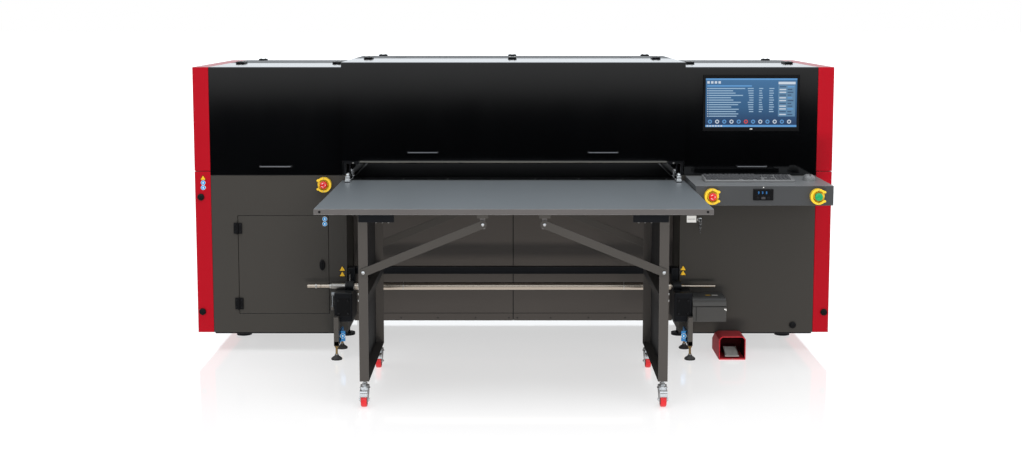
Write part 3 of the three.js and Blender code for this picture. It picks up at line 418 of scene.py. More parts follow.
class Kit:
    """Collects solids, given in millimetres, in the one mesh of a piece."""

    def __init__(self):
        self.made = bmesh.new()
        self.materials = []

    def take(self, part, material, turn=None):
        if material not in self.materials:
            self.materials.append(material)
        bmesh.ops.recalc_face_normals(part, faces=part.faces)
        for face in part.faces:
            face.material_index = self.materials.index(material)
        if turn:
            bmesh.ops.transform(part, matrix=turn, verts=part.verts)
        carrier = bpy.data.meshes.new("carrier")
        part.to_mesh(carrier)
        part.free()
        self.made.from_mesh(carrier)
        bpy.data.meshes.remove(carrier)

    def prism(self, axis, outline, a, b, material, bevel=0.0, segments=2, turn=None):
        """An outline in the plane across axis (y z, x z or x y), drawn out from a to b."""
        part = bmesh.new()
        put = {
            "x": lambda u, v, w: (w, u, v),
            "y": lambda u, v, w: (u, w, v),
            "z": lambda u, v, w: (u, v, w),
        }[axis]
        low = [part.verts.new(Vector(put(u, v, a)) * MM) for u, v in outline]
        high = [part.verts.new(Vector(put(u, v, b)) * MM) for u, v in outline]
        part.faces.new(low)
        part.faces.new(high[::-1])
        for i in range(len(outline)):
            j = (i + 1) % len(outline)
            part.faces.new((low[i], high[i], high[j], low[j]))
        if bevel:
            bmesh.ops.bevel(part, geom=part.edges[:], offset=bevel * MM, segments=segments,
                            affect="EDGES", profile=0.5, clamp_overlap=True)
        self.take(part, material, turn)

    def block(self, xs, ys, zs, material, bevel=0.0, segments=2, turn=None):
        outline = [(xs[0], ys[0]), (xs[1], ys[0]), (xs[1], ys[1]), (xs[0], ys[1])]
        self.prism("z", outline, zs[0], zs[1], material, bevel, segments, turn)

    def lathe(self, axis, centre, outline, material, sides=32, loop=False, turn=None):
        """[(along, radius)] turned about axis through centre; loop closes a ring's section."""
        part = bmesh.new()
        put = {
            "x": lambda w, u, v: (w, u, v),
            "y": lambda w, u, v: (u, w, v),
            "z": lambda w, u, v: (u, v, w),
        }[axis]
        rings = []
        for along, radius in outline:
            count = sides if radius > 0 else 1
            ring = []
            for i in range(count):
                a = 2 * math.pi * i / sides
                spot = Vector(put(along, radius * math.cos(a), radius * math.sin(a))) + Vector(centre)
                ring.append(part.verts.new(spot * MM))
            rings.append(ring)
        pairs = list(zip(rings, rings[1:])) + ([(rings[-1], rings[0])] if loop else [])
        for low, high in pairs:
            for i in range(sides):
                j = (i + 1) % sides
                corners = [low[i % len(low)], low[j % len(low)], high[j % len(high)], high[i % len(high)]]
                part.faces.new(list(dict.fromkeys(corners)))
        self.take(part, material, turn)

    def rod(self, axis, centre, radius, a, b, material, chamfer=1.0, sides=28, turn=None):
        c = min(chamfer, radius * 0.5, (b - a) * 0.4)
        outline = [(a, 0), (a, radius - c), (a + c, radius), (b - c, radius), (b, radius - c), (b, 0)]
        self.lathe(axis, centre, outline, material, sides, turn=turn)

    def tube(self, points, radius, material, sides=12):
        """A round bar bent along points."""
        part = bmesh.new()
        path = [Vector(p) for p in points]
        rings = []
        for i, spot in enumerate(path):
            ahead = (path[min(i + 1, len(path) - 1)] - path[max(i - 1, 0)]).normalized()
            turn = ahead.to_track_quat("Z", "Y").to_matrix()
            ring = []
            for k in range(sides):
                a = 2 * math.pi * k / sides
                outward = turn @ Vector((math.cos(a), math.sin(a), 0)) * radius
                ring.append(part.verts.new((spot + outward) * MM))
            rings.append(ring)
        for low, high in zip(rings, rings[1:]):
            for k in range(sides):
                j = (k + 1) % sides
                part.faces.new((low[k], low[j], high[j], high[k]))
        part.faces.new(rings[0][::-1])
        part.faces.new(rings[-1])
        self.take(part, material)

    def mesh(self, name):
        mesh = bpy.data.meshes.new(name)
        self.made.to_mesh(mesh)
        self.made.free()
        for material in self.materials:
            mesh.materials.append(material)
        smooth_by_angle(mesh)
        return rounded(mesh)

    def settle(self, name, body, slot, replaces=()):
        return settle(name, self.mesh(name), body, replaces)


# Foot rails along the cabinets' lower edges.
kit = Kit()
for _, side in SIDES:
    xs = sorted((side * 915, side * 1645))
    kit.block(xs, (14, 30), (98, 108), BLACK_PAINT, 2)
    kit.block(xs, (1084, 1100), (98, 108), BLACK_PAINT, 2)
kit.settle("cabinet_foot_rails", "root", "black_paint")

# ------------------------------------------------------------------ red side columns
# Pressed steel trays, two per side with a fine seam between them, finished in gloss red and held by
# quarter-turn knobs on their front faces.

RED_PAINT = paint("gloss_red_paint", (0.345, 0.0015, 0.009), 0.30, peel=0.12, tone=0.06, wear=0.10,
                  worn=(0.40, 0.05, 0.06), specular=0.16)
for side_name, _ in SIDES:
    refined(side_name + "_side_panel_lower", 3.0, RED_PAINT, 3)
    refined(side_name + "_side_panel_upper", 3.0, RED_PAINT, 3)

KNOB_PLACES = [(-1703, 859), (-1708, 224), (1708, 221), (1538, 149)]
DOMED_KNOB = [(0, 0), (0, 17), (-4, 19), (-9, 18), (-12, 13), (-13.5, 0)]

kit = Kit()
for x, z in KNOB_PLACES:
    kit.lathe("y", (x, 0, z), DOMED_KNOB, BLACK_PLASTIC)
    kit.block((x - 11, x + 11), (-17.5, -12), (z - 2.6, z + 2.6), BLACK_PLASTIC, 1.2)
kit.settle("quarter_turn_knobs", "root", "black_plastic")

# ------------------------------------------------------------------ safety stickers
# Printed vinyl: plain yellow triangles with a dark border, and plain blue discs with a pale ring.
# No lettering or symbols.

STICKER_YELLOW = paint("yellow_vinyl", (0.78, 0.46, 0.01), 0.35, peel=0.05, wear=0.0, tone=0.05)
STICKER_BLUE = paint("blue_vinyl", (0.02, 0.26, 0.60), 0.35, peel=0.05, wear=0.0, tone=0.05)
STICKER_WHITE = paint("white_vinyl", (0.80, 0.80, 0.78), 0.40, peel=0.05, wear=0.0, tone=0.03)


def triangle(x, z, size):
    return [(x - size, z - size * 0.62), (x + size, z - size * 0.62), (x, z + size * 1.05)]


def sticker_triangle(kit, x, z, front, size=15):
    kit.prism("y", triangle(x, z, size), front - 0.5, front, BLACK_PLASTIC)
    kit.prism("y", triangle(x, z, size * 0.78), front - 0.9, front - 0.4, STICKER_YELLOW)


def sticker_disc(kit, x, z, front, size=13):
    kit.rod("y", (x, 0, z), size, front - 0.5, front, STICKER_WHITE, 0.1)
    kit.rod("y", (x, 0, z), size * 0.90, front - 0.9, front - 0.4, STICKER_BLUE, 0.1)
    kit.block((x - size * 0.18, x + size * 0.18), (front - 1.1, front - 0.8),
              (z - size * 0.4, z + size * 0.4),
              STICKER_WHITE, 0.1)


kit = Kit()
sticker_triangle(kit, -1690, 963, 0, 17)
for z in (938, 911):
    sticker_disc(kit, -1690, z, 0)
for z in (738, 711):
    sticker_disc(kit, -1030, z, 0)
for x, heights in ((-938, (461, 431)), (932, (464, 437))):
    for z in heights:
        sticker_triangle(kit, x, z, 0, 19)
kit.settle("safety_stickers", "root", "gloss_black")

# ------------------------------------------------------------------ left door
# Shallow folded steel door, powder coated like the cabinet, on two black lift-off hinges, with an
# oval quarter-turn latch.

refined("left_door", 1.6, GREY_PAINT)
LATCH_X, LATCH_Z = -1046, 484
refined("door_latch", 2.5, BLACK_PLASTIC, 3)

kit = Kit()
kit.block((LATCH_X - 3, LATCH_X + 3), (-18, -13), (LATCH_Z - 20, LATCH_Z + 20), BLACK_PLASTIC, 1.5)
kit.settle("door_latch_grip", "door_latch", "black_plastic")
DOOR_HINGES = ((655, 719), (235, 303))
DOOR_PIN_X, DOOR_PIN_Y = -1507, -8
# (piece, body, knuckle or not, leaf's X, leaf's Y, screw's X, screw's Y)
DOOR_HINGE_HALVES = (
    ("door_hinge_knuckles", "root", True, (-1528, -1509), (-7, -0.3), -1519, (-9, -6.5)),
    ("door_hinge_leaves", "left_door", False, (-1503, -1482), (-8, -0.6), -1492, (-10, -7.5)),
)
for hinge_half, body, has_knuckle, leaf_x, leaf_y, screw_x, screw_y in DOOR_HINGE_HALVES:
    kit = Kit()
    for low, high in DOOR_HINGES:
        if has_knuckle:
            kit.rod("z", (DOOR_PIN_X, DOOR_PIN_Y, 0), 6.5, low, high, BLACK_PLASTIC, 1.5)
        kit.block(leaf_x, leaf_y, (low + 2, high - 2), BLACK_PLASTIC, 2)
        for z in (low + 14, high - 14):
            kit.rod("y", (screw_x, 0, z), 4, *screw_y, BLACK_PAINT, 0.8)
    kit.settle(hinge_half, body, "black_plastic")

# ------------------------------------------------------------------ hoods
# Three lift-up hoods of thick black sheet with a mirror-gloss face, folded ends and a bevelled top
# edge. Each hangs on top hinges and has a thin plated pull bar.


def gloss_sheet():
    material, tree, shader = new_material(
        "gloss_black_sheet", Specular_IOR_Level=0.5, Coat_Weight=0.0, IOR=1.5
    )
    grain = add_group(tree, GRAIN, Peel_Scale=9.0, Tone_Scale=2.0)
    base = mix_colour(tree, grain["Tone"], (0.0009, 0.0010, 0.0012), (0.0016, 0.0018, 0.0022))
    base = mix_colour(tree, add_group(tree, DUST, Amount=0.05)["Mask"], base, (0.4, 0.42, 0.45))
    tree.links.new(base, shader.inputs["Base Color"])
    smear = math_node(tree, "MULTIPLY_ADD", noise_node(tree, 5.0, 5.0, (1, 1, 0.3)), 0.05, 0.035)
    tree.links.new(smear, shader.inputs["Roughness"])
    bump_into(tree, shader, grain["Height"], 0.02, 0.0003)
    return material


GLOSS_BLACK = gloss_sheet()
CHROME = metal("chrome_plate", (0.72, 0.72, 0.72), 0.14, (0.1, 1, 1), 60, 0.03, 0.04)
STEEL = metal("bright_steel", (0.58, 0.56, 0.53), 0.28, (1, 1, 1), 90, 0.08)
for node in ("left_hood", "centre_hood", "right_hood"):
    refined(node, 1.2, GLOSS_BLACK, 3, 20)

PULL_METAL = metal("dark_plated_pull", (0.20, 0.20, 0.21), 0.30, (0.1, 1, 1), 60, 0.03, 0.04)
HANDLE_REACH, HANDLE_RADIUS = 20, 4.0
HANDLES = (
    ("left_hood", -1376, -1207, 0, 1028),
    ("right_hood", 1217, 1375, 0, 1028),
    ("centre_hood", -568, -409, -40, 1108),
    ("centre_hood", 406, 564, -40, 1108),
)
for number, (hood, x0, x1, front, z) in enumerate(HANDLES):
    kit = Kit()
    out = front - HANDLE_REACH
    bend = 7
    path = [
        (x0, front + 1, z), (x0, out + bend, z), (x0 + bend * 0.3, out + bend * 0.3, z), (x0 + bend, out, z),
        (x1 - bend, out, z), (x1 - bend * 0.3, out + bend * 0.3, z), (x1, out + bend, z), (x1, front + 1, z),
    ]
    kit.tube(path, HANDLE_RADIUS, PULL_METAL, 14)
    for x in (x0, x1):
        kit.rod("y", (x, 0, z), 8, front - 3, front, BLACK_PLASTIC, 1)
    kit.settle("hood_pull_%d" % number, hood, "chrome_plate")

# ------------------------------------------------------------------ hood hinges
# Cast black hinge blocks screwed to the hoods' and covers' tops, each pair on a steel pin.

HINGE_ROWS = (
    ("left_hood", (-1581, -1022), 1567),
    ("centre_hood", (-840, -5, 829), 1594),
    ("right_hood", (1025, 1595), 1567),
)
HINGE_Y, HINGE_RISE, PIN_RADIUS, KNUCKLE_RADIUS = 600, 5, 3, 4.8
for hood, places, top in HINGE_ROWS:
    pin = (0, HINGE_Y, top + HINGE_RISE)
    for body, low, high in ((hood, 544, 593.5), ("root", 606.5, 656)):
        kit = Kit()
        for x in places:
            kit.block((x - 24, x + 24), (low, high), (top, top + 9), BLACK_PAINT, 2.5)
            if body == hood:
                for a, b in ((x - 23, x - 9), (x + 9, x + 23)):
                    bore = PIN_RADIUS + 0.3
                    ring = [(a, bore), (a, KNUCKLE_RADIUS), (b, KNUCKLE_RADIUS), (b, bore)]
                    kit.lathe("x", pin, ring, BLACK_PAINT, 24, loop=True)
                    kit.block((a, b), (590, 596.3), (top + 0.6, top + 8.4), BLACK_PAINT, 0.5)
            else:
                kit.rod("x", pin, KNUCKLE_RADIUS, x - 8, x + 8, BLACK_PAINT, 0.6)
                kit.block((x - 8, x + 8), (603, 610), (top + 0.6, top + 8.4), BLACK_PAINT, 0.5)
                kit.rod("x", pin, PIN_RADIUS, x - 26, x + 26, STEEL, 0.8)
            for bolt_x in (x - 14, x + 14):
                kit.rod("z", (bolt_x, (low + high) / 2, 0), 4.5, top + 9, top + 12.5, STEEL, 1)
        kit.settle("hinge_blocks_%s_%s" % (hood, body), body, "black_paint")

# ------------------------------------------------------------------ rear covers and rear panel
# Fixed black covers behind the hoods and the grey lower rear panel with the exit slot. Pressed
# louvres, dished screws and stamped cable glands, all powder coated.

for node in ("left_rear_cover", "centre_rear_cover", "right_rear_cover"):
    refined(node, 1.5, BLACK_PAINT)
refined("rear_lower_panel", 1.2, GREY_PAINT)

# Black strips behind the covers' upright seams keep daylight out of the machine.
COVER_SEAM_X = 928.5
kit = Kit()
for seam_x in (-COVER_SEAM_X, COVER_SEAM_X):
    kit.block((seam_x - 16, seam_x + 16), (1111.5, 1115.8), (986, 1562), BLACK_PLASTIC, 0.4)
kit.settle("rear_cover_seam_strips", "root", "black_plastic")
PANEL_PAINT = paint("panel_powder_coat", (0.060, 0.053, 0.048), 0.48, peel=0.35, worn=(0.16, 0.15, 0.14),
                    specular=0.3)
for node in ("centre_panel_left", "centre_panel_right"):
    refined(node, 1.2, PANEL_PAINT)


def repeat_group():
    """Geometry Nodes: one pattern object set on every point, made real, in one material."""
    group = bpy.data.node_groups.new("repeat_on_points", "GeometryNodeTree")
    new = group.interface.new_socket
    new("Points", in_out="INPUT", socket_type="NodeSocketGeometry")
    new("Pattern", in_out="INPUT", socket_type="NodeSocketObject")
    new("Material", in_out="INPUT", socket_type="NodeSocketMaterial")
    new("Geometry", in_out="OUTPUT", socket_type="NodeSocketGeometry")
    entry = group.nodes.new("NodeGroupInput")
    leave = group.nodes.new("NodeGroupOutput")
    info = group.nodes.new("GeometryNodeObjectInfo")
    info.inputs["As Instance"].default_value = True
    place = group.nodes.new("GeometryNodeInstanceOnPoints")
    real = group.nodes.new("GeometryNodeRealizeInstances")
    coat = group.nodes.new("GeometryNodeSetMaterial")
    links = group.links
    links.new(entry.outputs["Points"], place.inputs["Points"])
    links.new(entry.outputs["Pattern"], info.inputs["Object"])
    links.new(info.outputs["Geometry"], place.inputs["Instance"])
    links.new(place.outputs["Instances"], real.inputs["Geometry"])
    links.new(real.outputs["Geometry"], coat.inputs["Geometry"])
    links.new(entry.outputs["Material"], coat.inputs["Material"])
    links.new(coat.outputs["Geometry"], leave.inputs["Geometry"])
    return group


REPEAT = repeat_group()


def repeated(name, pattern, points, material, body):
    """Pattern (a Kit at the origin) repeated at points, as a plain mesh on body."""
    model = bpy.data.objects.new("pattern", pattern.mesh("pattern"))
    scene.collection.objects.link(model)
    mesh = bpy.data.meshes.new("points")
    mesh.from_pydata([Vector(p) * MM for p in points], [], [])
    carrier = bpy.data.objects.new("carrier", mesh)
    scene.collection.objects.link(carrier)
    modifier = carrier.modifiers.new("repeat", "NODES")
    modifier.node_group = REPEAT
    names = {item.name: item.identifier for item in REPEAT.interface.items_tree if item.in_out == "INPUT"}
    modifier[names["Pattern"]] = model
    modifier[names["Material"]] = material
    graph = bpy.context.evaluated_depsgraph_get()
    result = bpy.data.meshes.new_from_object(carrier.evaluated_get(graph))
    result.name = name
    bpy.data.objects.remove(carrier)
    bpy.data.objects.remove(model)
    smooth_by_angle(result)
    return settle(name, result, body)


def screw_kit(axis, out, radius=5.0):
    """Pan-head screw standing out along axis in direction out."""
    kit = Kit()
    outline = [(0, 0), (0, radius), (out * 1.6, radius * 0.96), (out * 2.6, radius * 0.6),
               (out * 2.8, radius * 0.45),
               (out * 1.6, radius * 0.36), (out * 1.6, 0)]
    kit.lathe(axis, (0, 0, 0), outline, STEEL, 16)
    return kit


def louvre_kit(width):
    """Pressed louvre in a back wall: a hooded slot, its mouth down."""
    kit = Kit()
    kit.prism("x", [(0, -6), (9, -6), (11, -4), (4, 9), (0, 11)], -width / 2, width / 2, GREY_PAINT, 1.5)
    return kit


REAR = 1120
louvres = [(x, REAR, z) for x in (-1290, 1290) for z in range(300, 700, 34)]
repeated("rear_louvres", louvre_kit(420), louvres, GREY_PAINT, "root")
louvres = [(x, REAR, z) for x in (-1290, 0, 1290) for z in range(1180, 1460, 34)]
repeated("rear_cover_louvres", louvre_kit(420), louvres, BLACK_PAINT, "root")
screws = [(x, REAR, z) for x in range(-1600, 1601, 400) for z in (135, 910)]
screws += [(x, REAR, z) for x in (-1620, -960, 960, 1620) for z in (1030, 1290, 1540)]
screws += [(x, REAR, z) for x in (-900, -300, 300, 900) for z in (1090, 1565)]
repeated("rear_screws", screw_kit("y", 1), screws, STEEL, "root")
PANEL_FRONT = 295
PANEL_SCREW_X = (-860, -640, -430, -215, -24, 24, 215, 430, 640, 860)
front_screws = [(x, PANEL_FRONT, z) for x in PANEL_SCREW_X for z in (124, 752)]
repeated("centre_panel_screws", screw_kit("y", -1, 4.0), front_screws, BLACK_PAINT, "root")

# The rubber joint strip between the centre panels and the fold line along their lower edge.
kit = Kit()
kit.block((-2.2, 2.2), (293.8, 296), (112, 768), BLACK_PLASTIC, 0.4)
# The fold line is a thin black strip: painted shade of the crease.
kit.block((-905, 905), (294.2, 295.4), (150, 152.5), BLACK_PLASTIC, 0.2)
kit.settle("centre_panel_joint_strip", "root", "black_plastic")
kit = Kit()
kit.block((-1560, -1520), (REAR, REAR + 14), (760, 800), BLACK_PLASTIC, 3)
kit.rod("y", (-1540, 0, 720), 14, REAR, REAR + 18, BLACK_PLASTIC, 2)
kit.rod("y", (-1540, 0, 660), 14, REAR, REAR + 18, BLACK_PLASTIC, 2)
kit.block((-1580, -1500), (REAR, REAR + 4), (620, 740), STEEL, 1)
kit.settle("mains_inlet_glands", "root", "black_plastic")

# ------------------------------------------------------------------ monitor
# A flat touch display let into the right hood: moulded black bezel, glass, and a generic working
# screen of bars, rows and round keys without lettering.

BEZEL_X, BEZEL_Z = (1027.6, 1548.4), (1222, 1523)
SCREEN_X, SCREEN_Z = (1041, 1535), (1243, 1506)
SCREEN_Y = -3.2


def glow(name, colour, strength, banding=0.08):
    """Lit screen colour behind glass, slightly uneven."""
    material, tree, shader = new_material(name, Roughness=0.15, Base_Color=(0.01, 0.01, 0.012, 1))
    uneven = noise_node(tree, 6.0, 2.0)
    tone = mix_colour(tree, uneven, shade(colour, 1 - banding), shade(colour, 1 + banding))
    tree.links.new(tone, shader.inputs["Emission Color"])
    shader.inputs["Emission Strength"].default_value = strength
    return material


def screen_back():
    """Deep blue that lightens towards the upper left."""
    material, tree, shader = new_material("screen_blue", Roughness=0.12, Base_Color=(0.01, 0.01, 0.012, 1))
    split = tree.nodes.new("ShaderNodeSeparateXYZ")
    tree.links.new(object_place(tree), split.inputs[0])
    rise = tree.nodes.new("ShaderNodeMapRange")
    rise.inputs["From Min"].default_value = SCREEN_Z[0] * MM
    rise.inputs["From Max"].default_value = SCREEN_Z[1] * MM
    tree.links.new(split.outputs["Z"], rise.inputs["Value"])
    blue = ramp_node(tree,
                     [(0.0, (0.008, 0.03, 0.09)), (0.4, (0.022, 0.095, 0.21)), (1.0, (0.035, 0.14, 0.30))],
                     rise.outputs[0])
    tree.links.new(blue, shader.inputs["Emission Color"])
    shader.inputs["Emission Strength"].default_value = 1.0
    return material


GLOW_WHITE = glow("screen_white", (0.55, 0.62, 0.70), 1.0)
GLOW_BLUE = glow("screen_light_blue", (0.10, 0.30, 0.60), 1.0)
GLOW_ROW = glow("screen_row_text", (0.30, 0.45, 0.60), 1.0)
GLOW_PANEL = glow("screen_side_panel", (0.10, 0.22, 0.36), 1.0)
GLOW_RED = glow("screen_red", (0.60, 0.05, 0.05), 1.0)

kit = Kit()
frame_parts = (
    (BEZEL_X, (BEZEL_Z[0], SCREEN_Z[0])), (BEZEL_X, (SCREEN_Z[1], BEZEL_Z[1])),
    ((BEZEL_X[0], SCREEN_X[0]), (SCREEN_Z[0] - 2, SCREEN_Z[1] + 2)),
    ((SCREEN_X[1], BEZEL_X[1]), (SCREEN_Z[0] - 2, SCREEN_Z[1] + 2)),
)
for xs, zs in frame_parts:
    kit.block(xs, (-5, 20), zs, BLACK_PLASTIC, 1.8)
kit.block((BEZEL_X[0] + 2, BEZEL_X[1] - 2), (10, 44), (BEZEL_Z[0] + 2, BEZEL_Z[1] - 2), BLACK_PLASTIC, 3)
kit.block((BEZEL_X[0] + 60, BEZEL_X[1] - 60), (43, 62), (BEZEL_Z[0] + 60, BEZEL_Z[1] - 60), BLACK_PAINT, 4)
kit.block((SCREEN_X[0] - 2, SCREEN_X[1] + 2), (-2, 12), (SCREEN_Z[0] - 2, SCREEN_Z[1] + 2), screen_back(),
          0.3)
kit.block((1282, 1296), (-5.6, -4.9), (1230, 1234), STICKER_WHITE, 0.2)
kit.settle("monitor_case", "right_hood", "black_plastic", ("monitor",))


def glow_block(kit, x0, x1, z0, z1, material, raise_by=0.3):
    kit.block((x0, x1), (SCREEN_Y + 1.0 - raise_by, SCREEN_Y + 1.3), (z0, z1), material)


kit = Kit()
glow_block(kit, 1041, 1535, 1498, 1506, GLOW_BLUE)
for i in range(4):
    glow_block(kit, 1049 + i * 20, 1062 + i * 20, 1478, 1491, GLOW_WHITE)
glow_block(kit, 1049, 1290, 1462, 1469, GLOW_BLUE)
for i in range(13):
    z = 1449 - i * 12.5
    glow_block(kit, 1058, 1058 + (168 if i % 3 else 196) - (i * 37) % 50, z, z + 5, GLOW_ROW)
    glow_block(kit, 1050, 1055, z, z + 5, GLOW_WHITE)
    if i < 11:
        glow_block(kit, 1268 + (i * 13) % 11, 1300, z, z + 5, GLOW_ROW)
        glow_block(kit, 1330, 1352 - (i * 7) % 9, z, z + 5, GLOW_ROW)
        glow_block(kit, 1385, 1412 - (i * 5) % 8, z, z + 5, GLOW_ROW)
glow_block(kit, 1434, 1526, 1474, 1488, GLOW_WHITE)
glow_block(kit, 1434, 1526, 1300, 1470, GLOW_PANEL)
GLOW_DARK = glow("screen_dark_rows", (0.03, 0.08, 0.16), 1.0)
for i in range(11):
    z = 1458 - i * 15
    glow_block(kit, 1440, 1476, z, z + 6, GLOW_WHITE if i % 3 else GLOW_DARK, 0.6)
    glow_block(kit, 1484, 1520 - (i * 11) % 17, z, z + 6, GLOW_DARK if i % 4 else GLOW_BLUE, 0.6)
for i in range(12):
    x = 1066 + i * 39
    colour = GLOW_RED if i == 5 else (GLOW_WHITE if i % 2 else GLOW_BLUE)
    kit.rod("y", (x, 0, 1272), 11, SCREEN_Y + 0.7, SCREEN_Y + 1.3, colour, 0.1, 20)
    kit.rod("y", (x, 0, 1272), 6, SCREEN_Y + 0.4, SCREEN_Y + 0.9, GLOW_DARK, 0.1, 16)
glow_block(kit, 1041, 1535, 1243, 1254, GLOW_BLUE)
for i in range(6):
    glow_block(kit, 1048 + i * 15, 1058 + i * 15, 1245, 1252, GLOW_WHITE, 0.6)
kit.settle("monitor_screen_marks", "right_hood", "gloss_black")

# ------------------------------------------------------------------ gantry and print carriage
# Extruded aluminium beam on the frame's posts with a ground steel rail. The black carriage runs on
# it with print heads and two curing lamps, and parks over the capping station in the right cabinet.

ALUMINIUM = metal("brushed_aluminium", (0.42, 0.43, 0.44), 0.36, (0.05, 1, 1), 60, 0.10)
CAST_ALUMINIUM = metal("cast_aluminium", (0.36, 0.37, 0.38), 0.46, (1, 1, 1), 140, 0.22)
refined("gantry_beam", 3, ALUMINIUM)
refined("print_carriage", 5, BLACK_PAINT, 3)
refined("capping_station", 3, CAST_ALUMINIUM)
LAMP_GLASS = paint("lamp_glass", (0.10, 0.06, 0.16), 0.08, peel=0.0, wear=0.0, coat=0.5)

kit = Kit()
for side in (-1, 1):
    middle = 1288 + side * 172
    kit.block((middle - 30, middle + 30), (216, 380), (1012, 1044), CAST_ALUMINIUM, 3)
    kit.block((middle - 22, middle + 22), (228, 368), (1008, 1013), LAMP_GLASS, 1)
    for i in range(7):
        y = 224 + i * 24
        kit.block((middle - 33, middle + 33), (y, y + 5), (1016, 1040), CAST_ALUMINIUM, 0.8)
kit.block((1120, 1456), (176, 188), (1100, 1300), BLACK_PLASTIC, 5, 3)
for i in range(6):
    kit.rod("z", (1148 + i * 56, 300, 0), 16, 1335, 1352, STICKER_WHITE if i % 2 else BLACK_PLASTIC, 2)
kit.settle("carriage_lamps_and_cover", "print_carriage", "aluminium")

kit = Kit()
for i in range(6):
    x = 1190 + i * 39
    kit.block((x - 12, x + 12), (222, 372), (998.6, 1000.6), BLACK_PLASTIC, 0.8)
kit.settle("capping_seals", "root", "black_plastic")

# ------------------------------------------------------------------ ink tanks
# Moulded tanks in a folded steel rack behind the door, each with a screw cap in its ink's colour.

TANK_PLASTIC = paint("tank_polyethylene", (0.035, 0.035, 0.04), 0.35, peel=0.4, peel_scale=300)
refined("ink_tank_rack", 2.5, TANK_PLASTIC)
CAP_COLOURS = ((0.0, 0.25, 0.55), (0.55, 0.01, 0.20), (0.75, 0.55, 0.01), (0.02, 0.02, 0.02))
kit = Kit()
for i, colour in enumerate(CAP_COLOURS):
    cap = paint("ink_cap_%d" % i, colour, 0.35, peel=0.1)
    x = -1494 + 60 + i * 340 / 3
    for ridge in range(3):
        kit.rod("z", (x, 245, 0), 26 - ridge, 498 + ridge * 6, 505 + ridge * 6, cap, 1.5, 24)
    kit.block((x - 26, x + 26), (196, 199), (330, 420), cap, 1)
kit.settle("ink_tank_caps", "root", "black_plastic")

# ------------------------------------------------------------------ bed and media transport
# Endless perforated rubber belt over two ground rollers, level with the table, and a folded entry
# plate in front of it.


def belt_rubber():
    material, tree, shader = new_material("perforated_belt", Specular_IOR_Level=0.03)
    dots = tree.nodes.new("ShaderNodeTexVoronoi")
    dots.inputs["Randomness"].default_value = 0.0
    dots.inputs["Scale"].default_value = 45
    tree.links.new(object_place(tree), dots.inputs["Vector"])
    hole = ramp_node(tree, [(0.0, 0.0), (0.14, 0.0), (0.18, 1.0), (1.0, 1.0)], dots.outputs["Distance"])
    weave = noise_node(tree, 260.0, 2.0)
    # The rubber and, darker still, its holes are the belt's own black deepened by painted shade from the
    # hoods and beam above.
    rubber = mix_colour(tree, weave, (0.0020, 0.0020, 0.0026), (0.0050, 0.0050, 0.0060))
    tree.links.new(mix_colour(tree, hole, (0.0008, 0.0008, 0.0008), rubber), shader.inputs["Base Color"])
    shader.inputs["Roughness"].default_value = 0.80
    bump_into(tree, shader, hole, 0.5, 0.0006)
    return material


BELT = belt_rubber()
refined("transport_belt", 0.5, BELT, 1, 40)
refined("drive_roller", 1.2, STEEL)
refined("idler_roller", 1.2, STEEL)
MATTE_BLACK = paint("matte_black_coat", (0.004, 0.0042, 0.005), 0.75, specular=0.05, worn=(0.05, 0.05, 0.05),
                    dust=0.02)
refined("bed_entry_plate", 1.2, MATTE_BLACK)
kit = Kit()
kit.block((-900, 900), (6, 12), (949.5, 951.2), ALUMINIUM, 0.6)
for x in range(-840, 841, 240):
    kit.rod("z", (x, 60, 0), 4, 949.6, 951.4, STEEL, 0.6, 16)
kit.settle("entry_plate_edge", "root", "aluminium")

# ------------------------------------------------------------------ guide roller
# Chromed roller across the feed slot, its journals in two black bearing brackets that stand on the
# cabinet decks.

ROLLER_CHROME = metal("roller_chrome", (0.66, 0.60, 0.52), 0.20, (0.05, 1, 1), 50, 0.03)
refined("guide_roller", 1.0, ROLLER_CHROME, 2, 40)
for side_name, side in SIDES:
    refined("guide_bracket_" + side_name, 1.5, BLACK_PAINT)
kit = Kit()
for _, side in SIDES:
    for z in (1048, 1076):
        kit.rod("y", (side * 870, 0, z), 4.5, -17, -13.5, STEEL, 1, 16)
kit.settle("guide_bracket_bolts", "root", "polished_steel")

# ------------------------------------------------------------------ table
# Feed table on two folded side frames: powder coated top with a folded lip, mid rails, bearers,
# flat-bar braces front and rear, zinc bolts.

ZINC = metal("zinc_plate", (0.80, 0.80, 0.80), 0.22, (1, 1, 1), 70, 0.12, 0.14)
LEG_PAINT = paint("leg_powder_coat", (0.052, 0.047, 0.043), 0.46, peel=0.35, worn=(0.16, 0.15, 0.14),
                  specular=0.3)
BRACE_PAINT = paint("brace_powder_coat", (0.046, 0.042, 0.038), 0.46, peel=0.35, worn=(0.13, 0.12, 0.11),
                    specular=0.3)


